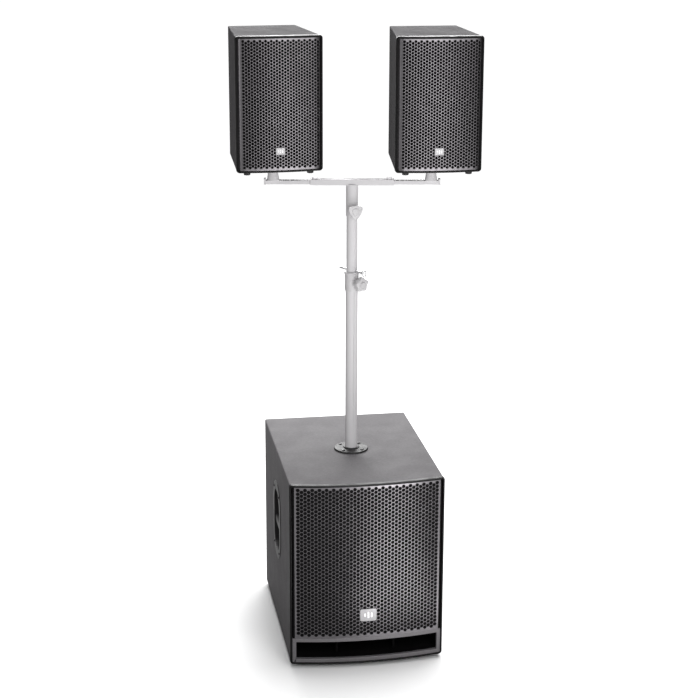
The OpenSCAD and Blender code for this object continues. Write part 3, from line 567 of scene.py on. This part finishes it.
def cabinet_shell():
    """The four boards as one painted box with round edges, open in front and behind."""
    outer = rounded(SUB_W, SUB_H, 4.5, 6, 32, 1, (0, CAB_ZC))
    inner = rounded(SUB_W - 2 * BOARD, SUB_H - 2 * BOARD, 1.0, 6, 32, 1, (0, CAB_ZC))

    def front(points, depth):
        return [(x, sub_front(x, depth), z) for x, z in points]

    def flat(points, y):
        return [(x, y, z) for x, z in points]

    rings = [
        front(outer(1.2), RING_DEPTH + 0.05), front(outer(0), RING_DEPTH + 1.3),
        flat(outer(0), SUB_REAR - 3.5), flat(outer(0.9), SUB_REAR - 1.2), flat(outer(3.2), SUB_REAR),
        flat(inner(-1.5), SUB_REAR), flat(inner(0), SUB_REAR - 1.5), front(inner(0), RING_DEPTH + 0.05),
    ]
    cuts = []
    outline = rounded(HANDLE_W - 44, HANDLE_H - 44, 52, 10)
    for _, side in SIDES:
        hole = Shape()
        hole.layers(outline, ((0, -BOARD - 3), (0, BOARD + 3)),
                    shift(side * (SUB_W - BOARD) / 2, HANDLE_Y, HANDLE_Z) @ turn("Y", 90) @ turn("Z", 90))
        cuts.append(hole)
    bore = Shape()
    bore.turned([(20, CAB_Z1 - BOARD - 3), (20, CAB_Z1 + 3)])
    cuts.append(bore)
    boards = ("sub_top_panel", "sub_bottom_panel", "sub_left_panel", "sub_right_panel")
    shell = Shape().loft(rings, True).make("sub_shell", "subwoofer", "cabinet_paint", cuts=cuts,
                                           replaces=boards)
    # the inside faces take the near-black inner board: a black stain that is also painted shade in the port
    # slots
    shell.data.materials.append(M["inner_board"])
    edge_x, edge_z = (SUB_W / 2 - 2) * MM, (SUB_H / 2 - 2) * MM
    for face in shell.data.polygons:
        x, y, z = face.center
        if abs(x) < edge_x and abs(z - CAB_ZC * MM) < edge_z and y < (SUB_REAR - 6) * MM:
            face.material_index = 1


def bezel_ring(name, body, w, h, zc, surface, back, matrix=None, replaces=()):
    """Moulded frame: crowned, with a rolled outer edge and a step down to the grille."""
    outline = rounded(w, h, 9, 8, 36, 1, (0, zc))
    section = [(0, back), (0, 4.2), (0.5, 2.3), (1.5, 0.8), (3.0, 0.15), (4.3, 0.15), (5.2, 0.7),
               (5.9, 1.9), (6.0, 3.0), (6.0, back)]
    rings = []
    for inset, depth in section:
        if callable(depth):
            rings.append([(x, depth(x), z) for x, z in outline(inset)])
        else:
            rings.append([(x, surface(x, depth), z) for x, z in outline(inset)])
    Shape().loft(rings, True).make(name, body, "bezel_plastic", matrix=matrix, replaces=replaces)


def perforated(name, body, x0, x1, z0, z1, pitch, hole, margins, surface, sheet, lip, matrix=None,
               replaces=(), depth=2.0, material=None):
    """Curved sheet with a honeycomb of six-sided holes, each with a coined edge."""
    step, big, small = pitch * math.sqrt(3) / 2, pitch / math.sqrt(3), hole / math.sqrt(3)
    left, right, low, high = margins
    bm = bmesh.new()
    known = {}

    def vertex(x, z, d):
        x, z = min(max(x, x0), x1), min(max(z, z0), z1)
        key = (round(x * 1000), round(z * 1000), round(d * 1000))
        if key not in known:
            known[key] = bm.verts.new((x * MM, surface(x, depth + d) * MM, z * MM))
        return known[key]

    def face(vs):
        vs = [v for i, v in enumerate(vs) if v is not vs[i - 1]]
        if len(set(vs)) == len(vs) > 2:
            bm.faces.new(vs)

    rim = {}
    xm, zm = (x0 + x1) / 2, z0 + low + hole / 2 + pitch * math.ceil((z1 - z0) / pitch / 2)
    for i in range(-int((x1 - x0) / step / 2) - 2, int((x1 - x0) / step / 2) + 3):
        for j in range(-int((z1 - z0) / pitch / 2) - 3, int((z1 - z0) / pitch / 2) + 3):
            cx, cz = xm + i * step, zm + (j + (i % 2) / 2) * pitch
            ring = [(math.cos(math.radians(60 * k)), math.sin(math.radians(60 * k))) for k in range(6)]
            around = [(cx + big * c, cz + big * s) for c, s in ring]
            if all(x <= x0 for x, _ in around) or all(x >= x1 for x, _ in around):
                continue
            if all(z <= z0 for _, z in around) or all(z >= z1 for _, z in around):
                continue
            front = [vertex(x, z, 0) for x, z in around]
            back = [vertex(x, z, sheet) for x, z in around]
            for k in range(6):
                a, b = front[k], front[(k + 1) % 6]
                if a is not b:
                    pair = frozenset((a, b))
                    rim[pair] = None if pair in rim else (a, b, back[(k + 1) % 6], back[k])
            open_cell = (cx - small > x0 + left and cx + small < x1 - right
                         and cz - hole / 2 > z0 + low and cz + hole / 2 < z1 - high)
            if not open_cell:
                face(front)
                face(back[::-1])
                continue
            loops = [front]
            for radius, d in ((small + lip, 0), (small, lip * 0.8), (small, sheet)):
                loops.append([vertex(cx + radius * c, cz + radius * s, d) for c, s in ring])
            loops.append(back)
            for a, b in zip(loops, loops[1:]):
                for k in range(6):
                    face([a[k], a[(k + 1) % 6], b[(k + 1) % 6], b[k]])
    for wall in rim.values():
        if wall:
            face(list(wall)[::-1])
    shape = Shape()
    shape.bm.free()
    shape.bm = bm
    shape.make(name, body, "grille_steel", material=material, matrix=matrix, replaces=replaces, sharp=25)


def badge(name, body, w, h, z, surface, front, back, matrix=None, replaces=()):
    """Blank plate with a raised rim; three plain bars stand where a mark would be."""
    outline = rounded(w, h, w * 0.11, 6, 6, 1, (0, z))
    levels = [(0.3, back), (0, back - 0.3), (0, front + 0.5), (0.5, front), (1.6, front), (2.0, front + 0.35)]
    rings = [[(x, surface(x, d), zz) for x, zz in outline(i)] for i, d in levels]
    Shape().loft(rings).make(name, body, "badge_plate", matrix=matrix, replaces=replaces)
    bars = Shape()
    for i, height in enumerate((0.30, 0.52, 0.40)):
        x = (i - 1) * w * 0.2
        mark = rounded(w * 0.11, h * height, w * 0.05, 4, 1, 1, (x, z))
        bars.loft([[(px, surface(px, d), pz) for px, pz in mark(s)] for s, d in
                   ((0, front + 0.4), (0, front + 0.15), (0.2, front))])
    bars.make(name + "_mark", body, "badge_plate", material="badge_mark", matrix=matrix)


def subwoofer():
    cabinet_shell()
    w, h = SUB_W + 2 * RING_OVER, SUB_H + 2 * RING_OVER
    bezel_ring("sub_bezel_ring", "subwoofer", w, h, CAB_ZC, sub_front, RING_DEPTH, replaces=("sub_bezel",))
    low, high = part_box("sub_grille")
    perforated("sub_grille_sheet", "subwoofer", low.x / MM + 7, high.x / MM - 7, low.z / MM, high.z / MM,
               pitch=11.4, hole=10.0, margins=(2, 2, 0.8, 2.2), surface=sub_front, sheet=1.5, lip=0.3,
               replaces=("sub_grille",))
    badge("sub_badge_plate", "subwoofer", 48, 38, low.z / MM + 69, sub_front, front=0.1, back=2.0,
          replaces=("sub_badge",))


# ------------------------------------------------------------------ satellites

def satellite(label, side):
    body, place = label + "_satellite", at_satellite(side)
    w, h = SAT_W + 2 * RING_OVER, SAT_H + 2 * RING_OVER
    bezel_ring(label + "_bezel_ring", body, w, h, SAT_ZC, sat_front, lambda x: SAT_FRONT, place,
               (label + "_bezel",))
    half_width, low, high = w / 2 - 6.5, SAT_ZC - h / 2 + 6.5, SAT_ZC + h / 2 - 6.5
    perforated(label + "_grille_sheet", body, -half_width, half_width, low, high,
               pitch=8.75, hole=7.2, margins=(9, 0.8, 0.8, 2.5), surface=bent_sheet(half_width), sheet=1.2,
               lip=0.3, matrix=place, replaces=(label + "_grille",), depth=1.5, material="satellite_grille")
    # near-black foam sheet behind the grille: partly foam, partly painted shade over the inside of the
    # cabinet
    grille_foam(label, body, place, half_width, low, high)
    badge(label + "_badge_plate", body, 26, 20, SAT_BADGE_Z, sat_front, front=-0.7, back=1.4, matrix=place)
    horn(label, body, place)
    fittings(label, body, place)


def bent_sheet(half_width):
    """The satellite's crown, with the sheet's side margins bent back."""

    def surface(x, depth):
        past = max(0.0, abs(x) - (half_width - 8))
        return sat_front(x, depth) + past * 0.7

    return surface


def grille_foam(label, body, place, half_width, low, high):
    """Acoustic foam right behind a satellite's grille; it hides the horn and the driver, and its near-black
    sheet is also painted shade for the dark inside of the cabinet.
    """
    surface = bent_sheet(half_width)
    outline = rounded(2 * half_width - 1, high - low - 1, 4.5, 6, 36, 1, (0, (low + high) / 2))
    rings = [[(x, surface(x, d), z) for x, z in outline(inset)] for inset, d in ((0, 3.0), (0, 5.4))]
    Shape().loft(rings).make(label + "_shade_foam_sheet", body, "grille_foam", matrix=place)


def round_ring(points, half_width, half_height, radius):
    """A circle with one point for each point of an oblong outline."""
    angles = [math.atan2(y / half_height, x / half_width) for x, y in points]
    return [(radius * math.cos(a), radius * math.sin(a)) for a in angles]


def horn(label, body, place):
    """Flange, smooth flare from a wide mouth to a round throat, and the driver can behind it."""
    mouth, flange, outer = rounded(106, 50, 6), rounded(190, 96, 8), rounded(112, 58, 8)
    throat, can = round_ring(mouth(0), 53, 25, 11), round_ring(outer(0), 56, 29, 38)
    rings = [(flange(0), 0), (flange(0), -3.2), (flange(0.8), -4), (mouth(-3), -4), (mouth(0), -2.5)]
    steps, length = 9, 60
    for k in range(1, steps + 1):
        close = 1 - (1 - k / steps) ** 1.8
        rings.append(([(mx * (1 - close) + tx * close, my * (1 - close) + ty * close)
                       for (mx, my), (tx, ty) in zip(mouth(0), throat)], length * k / steps))
    can_middle = [(x * 0.28, y * 0.28) for x, y in can]
    rings += [(can_middle, 92), (can, 92), (can, 62), (outer(6), 61), (outer(0), 0.2)]
    solid = [[(x, y, z) for x, y in points] for points, z in rings]
    Shape().loft(solid, True, shift(0, SAT_BAFFLE, HORN_Z) @ TO_REAR).make(
        label + "_horn_flare", body, "horn_plastic", matrix=place, replaces=(label + "_horn",))


def round_socket(shape, x, y, z, mouth, core, flange=(29, 31)):
    """Panel socket: flange with round edges, barrel, open mouth, and a core deep inside."""
    plate, deep = rounded(*flange, 4, 6), 16
    n = len(plate(0))
    angles = [2 * math.pi * (i + 2.5) / n for i in range(n)]

    def ring(r):
        return [(r * math.cos(a), r * math.sin(a)) for a in angles]

    levels = [(ring(11.9), 0.2), (ring(11.9), -20), (ring(0.01), -20), (ring(0.01), -9.4),
              (ring(core * 0.8), -9), (ring(core), -9.5), (ring(core), -deep), (ring(mouth), -deep),
              (ring(mouth), 1.2), (ring(mouth + 0.8), 2.0), (plate(0.7), 2.0), (plate(0), 1.3), (plate(0), 0)]
    shape.loft([[(a, b, d) for a, b in r] for r, d in levels], True, shift(x, y, z) @ TO_REAR)


def fittings(label, body, place):
    """Pole cup, terminal plate with its sockets and screws, and the four feet."""
    cup = Shape()
    cup.turned([(0, 66), (20, 66), (20, 0), (29.4, 0), (30, -0.6), (30, -1.4), (29.4, -2), (16.2, -2),
                (14.55, -0.6), (14.55, 62.2), (0, 62.2)], shift(0, 0, SAT_Z), 64)
    cup.make(label + "_pole_cup", body, "fitting_plastic", matrix=place)
    plate, holes, sockets, heads, pads = Shape(), [], Shape(), Shape(), Shape()
    plate.layers(rounded(104, 80, 6, 6), ((0, 0), (0, 1.4), (0.6, 2.0)),
                 shift(0, SAT_REAR, TERMINAL_Z) @ TO_REAR)
    for sx in (-1, 1):
        holes.append(Shape().turned([(11.5, -5), (11.5, 5)], shift(sx * 24, SAT_REAR, TERMINAL_Z) @ TO_REAR))
        round_socket(sockets, sx * 24, SAT_REAR + 1.0, TERMINAL_Z, mouth=10.2, core=4.4, flange=(26, 31))
        for sz in (-1, 1):
            at = shift(sx * 46, SAT_REAR + 2, TERMINAL_Z + sz * 34) @ TO_REAR
            crossed_screw(heads, at, head=3.4, rise=1.8, shank=1.5, length=9)
        for y, dx in ((SAT_FRONT + 11, 88), (SAT_REAR - 24, 66)):
            pads.turned([(0, 0), (10, 0), (9.1, -9.3), (8.6, -10.6), (7.4, -11), (0, -11)],
                        shift(sx * dx, y, SAT_Z), 32)
    plate.make(label + "_terminal_plate", body, "fitting_plastic", matrix=place, cuts=holes,
               replaces=(label + "_fittings",))
    sockets.make(label + "_terminals", body, "fitting_plastic", material="socket_plastic", matrix=place)
    heads.make(label + "_terminal_screws", body, "black_screw", matrix=place)
    pads.make(label + "_pads", body, "foot_rubber", matrix=place)


def between(value, low, high):
    """How far value has come from low to high, kept within 0 and 1."""
    return min(max((value - low) / (high - low), 0.0), 1.0)


def screws(name, body, places, replaces, head, shank, length):
    """Pan heads with a cross recess, one at each place; their axis is +Z."""
    shape = Shape()
    for place in places:
        crossed_screw(shape, place, head, rise=2.6, shank=shank, length=length)
    shape.make(name, body, "black_screw", replaces=(replaces,), sharp=40)


def all_screws():
    flange = [turn("Z", 45 + 90 * i) @ shift(39, 0, CAB_Z1 + 5) for i in range(4)]
    screws("flange_screw_heads", "subwoofer", flange, "flange_screws", head=5, shank=1.8, length=15)
    rims = [shift(side * (SUB_W / 2 + 2), HANDLE_Y + sy * 52.5, HANDLE_Z + sz * 88.5) @ turn("Y", side * 90)
            for _, side in SIDES for sy in (-1, 1) for sz in (-1, 1)]
    screws("handle_screw_heads", "subwoofer", rims, "handle_screws", head=4, shank=1.75, length=13)
    plate = [shift(sx * 141, AMP_FACE, AMP_Z + (i - 1.5) * 376 / 3) @ TO_REAR
             for sx in (-1, 1) for i in range(4)]
    screws("amp_screw_heads", "subwoofer", plate, "amp_screws", head=4, shank=1.5, length=13)


# ------------------------------------------------------------------ stand

def height_knob():
    """Star knob with five soft lobes and a raised cap."""
    place = shift(0, 0, HEIGHT_KNOB_Z) @ turn("Z", 32) @ TO_FRONT @ shift(0, 0, 35.5)

    def lobes(angle, r):
        return r - 4.2 * between(r, 9, 19) * (0.5 - 0.5 * math.cos(5 * (angle - math.pi / 2)))

    Shape().turned([(0, -20), (3.9, -20), (3.9, -4), (7, -4), (7, 0), (19.8, 0), (21.4, 0.9), (22, 3),
                    (22, 10), (21.4, 11.8), (19.6, 13), (13, 13.3), (12, 12.4), (9.2, 12.4), (8.6, 13.8),
                    (7, 15.4), (4, 16), (0, 16)], place, 160, flute=lobes).make(
        "height_knob_star", "height_clamp", "knob_plastic", material="grey_knob", replaces=("height_knob",))


def crossbar_knob():
    """Flat knob with three bowed sides, one corner down, and a round cap."""
    place = AT_BAR @ shift(0, 0, CROSS_KNOB_Z) @ turn("Z", CROSS_KNOB_TURN) @ TO_FRONT @ shift(0, 0, 30)

    def bowed(angle, r):
        edges = []
        for i in range(3):
            along = 43 * math.cos(angle - math.radians(-90 + i * 120))
            edges.append(along + math.sqrt(60 ** 2 - 43 ** 2 + along ** 2))
        soft = sum(e ** -7 for e in edges) ** (-1 / 7)
        part = between(r, 8, 16)
        return r * (1 - part + part * soft / 20)

    Shape().turned([(0, -14.5), (3.9, -14.5), (3.9, -4), (7, -4), (7, 0), (17.6, 0), (19.4, 0.7), (20, 2.2),
                    (20, 6.8), (19.4, 8.3), (17.6, 9), (11.6, 9.1), (11, 9.9), (9.4, 10.7), (7, 11), (0, 11)],
                   place, 144, flute=bowed).make(
        "crossbar_knob_cap", "crossbar_clamp", "grey_knob", replaces=("crossbar_knob",))


def thumbscrew(label, side):
    """Knurled head with a domed top."""
    place = AT_BAR @ shift(side * THUMB_X, 0, THUMB_Z)

    def knurl(angle, r):
        return r - 0.3 * between(r, 7.9, 8.4) * (0.5 + 0.5 * math.cos(30 * angle))

    Shape().turned([(0, -3.2), (3, -3.2), (3, 0), (8.1, 0), (8.5, 0.5), (8.5, 3.0), (8.0, 3.7), (6.5, 4.9),
                    (4.2, 6.1), (2, 6.8), (0, 7)], place, 180, flute=knurl).make(
        label + "_thumbscrew_head", label + "_clamp", "knob_plastic", material="pale_knob",
        replaces=(label + "_thumbscrew",))


# ------------------------------------------------------------------ amplifier

def rotary_knob(name, body, x):
    """Skirted knob: fluted grip, pointer rib and a printed line on its cap."""
    place = shift(x, AMP_FACE, KNOB_Z) @ TO_REAR

    def flutes(angle, r):
        return r - 0.4 * between(r, 6.1, 6.4) * between(r, 7.6, 7.2) * (0.5 + 0.5 * math.cos(18 * angle))

    grip = Shape()
    grip.turned([(0, -12), (3.5, -12), (3.5, 0.6), (8.7, 0.6), (9, 1.0), (8.6, 4.1), (8.2, 4.6), (7.1, 4.7),
                 (6.6, 14.7), (6.0, 15.4), (5.2, 15.6), (4.6, 15.3), (0, 15.3)], place, 144, flute=flutes)
    grip.layers(rounded(1.4, 7.8, 0.6, 4, 1, 1, (0, -4.3)), ((0, 4.4), (0, 15.5), (0.35, 15.85)), place)
    grip.make(name + "_grip", body, "knob_plastic", replaces=(name,))
    line = rounded(0.6, 5.4, 0.28, 3, 1, 1, (0, -4.6))
    Shape().layers(line, ((0, 15.8), (0, 15.98)), place).make(
        name + "_pointer", body, "knob_plastic", material="panel_ink")


def panel_sockets():
    """Signal and speaker sockets of the amplifier, and the metal contacts in them and in the inlet."""
    signal, speaker, metal = Shape(), Shape(), Shape()
    for x in SIGNAL_X:
        round_socket(signal, x, AMP_FACE, SOCKET_Z, mouth=9.6, core=2)
        at = shift(x, AMP_FACE, SOCKET_Z) @ TO_REAR
        for i in range(3):
            a = math.radians(90 + 120 * i)
            metal.turned([(0, -15.8), (1.2, -15.8), (1.2, -7), (0.7, -6.2), (0, -6)],
                         at @ shift(4.9 * math.cos(a), 4.9 * math.sin(a), 0), 20)
    for x in SPEAKER_X:
        round_socket(speaker, x, AMP_FACE, SOCKET_Z, mouth=10.2, core=4.4)
        at = shift(x, AMP_FACE, SOCKET_Z) @ TO_REAR
        for i in range(4):
            metal.box((-1.2, 4.0, -15.8), (1.2, 4.9, -10.5), at @ turn("Z", 45 + 90 * i))
    for px, pz in ((-7, -2), (0, 3), (7, -2)):
        metal.layers(rounded(2.1, 4.1, 0.5, 3, 1, 1), ((0, -20.9), (0, -11.9), (0.4, -11.45)),
                     shift(INLET_X + px, AMP_FACE, KNOB_Z - 1 + pz) @ TO_REAR)
    signal.make("signal_socket_bodies", "subwoofer", "socket_plastic", replaces=("signal_sockets",))
    speaker.make("speaker_socket_bodies", "subwoofer", "socket_plastic", replaces=("speaker_sockets",))
    metal.make("socket_contacts", "subwoofer", "socket_plastic", material="contact_metal")


def panel_print():
    """Plain dial ticks, frames round the groups of controls, and the marks of the switch."""
    ink_on = Shape()
    thick = 0.12
    for x in KNOB_X:
        for i in range(11):
            long = 2.6 if i in (0, 5, 10) else 1.6
            ink_on.box((-0.25, 0, 11.4), (0.25, thick, 11.4 + long),
                       shift(x, AMP_FACE, KNOB_Z) @ turn("Y", -150 + 30 * i))
    line = 0.45
    for x0, x1, z0, z1 in ((-129, -10, 409, 455), (-129, 11, 356, 400),
                           (49, 133, 356, 400), (3, 29, 409, 455)):
        for lo, hi in (((x0, z0), (x1, z0 + line)), ((x0, z1 - line), (x1, z1)),
                       ((x0, z0 + line), (x0 + line, z1 - line)), ((x1 - line, z0 + line), (x1, z1 - line))):
            ink_on.box((lo[0], AMP_FACE, lo[1]), (hi[0], AMP_FACE + thick, hi[1]))
    bar_y = AMP_FACE + 1.5
    ink_on.box((SWITCH_X - 0.3, bar_y, KNOB_Z + 14.2), (SWITCH_X + 0.3, bar_y + thick, KNOB_Z + 16.2))
    mark = shift(SWITCH_X, bar_y, KNOB_Z - 15.2) @ TO_REAR
    ring = [[(r * math.cos(math.pi * i / 12), r * math.sin(math.pi * i / 12), z) for i in range(24)]
            for r, z in ((1.1, 0), (1.1, thick), (0.75, thick), (0.75, 0))]
    ink_on.loft(ring, True, mark)
    ink_on.make("panel_print", "subwoofer", "amp_panel", material="panel_ink")


subwoofer()
all_screws()
for label, side in SIDES:
    satellite(label, side)
    thumbscrew(label, side)
height_knob()
crossbar_knob()
for label, x in zip(("sub_level", "satellite_level", "crossover"), KNOB_X):
    rotary_knob(label + "_knob", label + "_control", x)
panel_sockets()
panel_print()

# ------------------------------------------------------------------ stage

BOUNCE = 0.30
FILL, SEEN = 0.27, 1.0


def stage():
    """Pale sheet that reads as white, yet throws little light back on to the object."""
    floor = Finish("floor", (0.74, 0.74, 0.742), 0.9, specular=0.05).tone(1.5, 0.004)
    path = floor.node("ShaderNodeLightPath").outputs["Is Camera Ray"]
    floor.color = floor.mix(path, (BOUNCE, BOUNCE, BOUNCE, 1), floor.color)
    bm = bmesh.new()
    bmesh.ops.create_circle(bm, cap_ends=True, segments=64, radius=60)
    mesh = bpy.data.meshes.new("floor")
    bm.to_mesh(mesh)
    bm.free()
    obj = bpy.data.objects.new("floor", mesh)
    obj.location.z = -0.0002
    mesh.materials.append(floor.done())
    bpy.context.scene.collection.objects.link(obj)


def softbox(name, place, aim, size, power, turned=0):
    """Area light at a place, in metres, that faces its aim; turned is about the world's Z."""
    data = bpy.data.lights.new(name, "AREA")
    data.shape = "RECTANGLE"
    data.size, data.size_y = size
    data.energy = power
    obj = bpy.data.objects.new(name, data)
    obj.location = place
    obj.rotation_mode = "QUATERNION"
    facing = (Vector(aim) - Vector(place)).to_track_quat("-Z", "Y")
    obj.rotation_quaternion = turn("Z", turned).to_quaternion() @ facing
    obj.visible_camera = False
    bpy.context.scene.collection.objects.link(obj)


def studio():
    """White surroundings that light the object less than they show, a broad sun and four panels."""
    world = bpy.data.worlds.new("studio")
    bpy.context.scene.world = world
    world.use_nodes = True
    tree = world.node_tree
    tree.nodes.clear()
    out = tree.nodes.new("ShaderNodeOutputWorld")
    choose = tree.nodes.new("ShaderNodeMixShader")
    path = tree.nodes.new("ShaderNodeLightPath")
    tree.links.new(path.outputs["Is Camera Ray"], choose.inputs[0])
    for i, strength in ((1, FILL), (2, SEEN)):
        node = tree.nodes.new("ShaderNodeBackground")
        node.inputs["Color"].default_value = (1, 1, 1, 1)
        node.inputs["Strength"].default_value = strength
        tree.links.new(node.outputs[0], choose.inputs[i])
    tree.links.new(choose.outputs[0], out.inputs[0])
    data = bpy.data.lights.new("overhead", "SUN")
    data.energy, data.angle = 3.8, math.radians(38)
    high = bpy.data.objects.new("overhead", data)
    high.rotation_mode = "QUATERNION"
    high.rotation_quaternion = Vector((0.14, 0.22, 0.96)).to_track_quat("Z", "Y")
    bpy.context.scene.collection.objects.link(high)
    softbox("front_panel", (0.30, -1.75, 1.12), (0, -0.1, 1.02), (0.8, 1.5), 20)
    # lies on the floor, where the subwoofer's grille mirrors it as one upright band
    softbox("floor_strip", (0.42, -1.35, 0.01), (0.42, -1.35, 1), (0.42, 1.6), 17, turned=18)
    softbox("back_panel", (0.3, 3.6, 2.6), (0, 0, 0.9), (2.4, 1.6), 150)
    softbox("side_strip", (-1.85, -0.87, 1.52), (-0.2, 0, 1.6), (0.3, 0.5), 5)
    bpy.context.scene.view_settings.view_transform = "Standard"


def camera():
    """A short telephoto that looks slightly down, from just left of the front."""
    azimuth, elevation, roll = (math.radians(a) for a in (-9.416, 16.382, 0.182))
    aim, distance = Vector((-0.0072, 0, 0.8571)), 5.0014
    back = Vector((math.sin(azimuth) * math.cos(elevation), -math.cos(azimuth) * math.cos(elevation),
                   math.sin(elevation)))
    right = Vector((math.cos(azimuth), math.sin(azimuth), 0))
    up = back.cross(right)
    r = right * math.cos(roll) + up * math.sin(roll)
    u = up * math.cos(roll) - right * math.sin(roll)
    data = bpy.data.cameras.new("camera")
    data.lens, data.sensor_width = 89.18, 36
    data.clip_start, data.clip_end = 0.1, 200
    obj = bpy.data.objects.new("camera", data)
    bpy.context.scene.collection.objects.link(obj)
    axes = Matrix((r, u, back)).transposed().to_4x4()
    obj.matrix_world = Matrix.Translation(aim + back * distance) @ axes
    bpy.context.scene.camera = obj


stage()
studio()
camera()
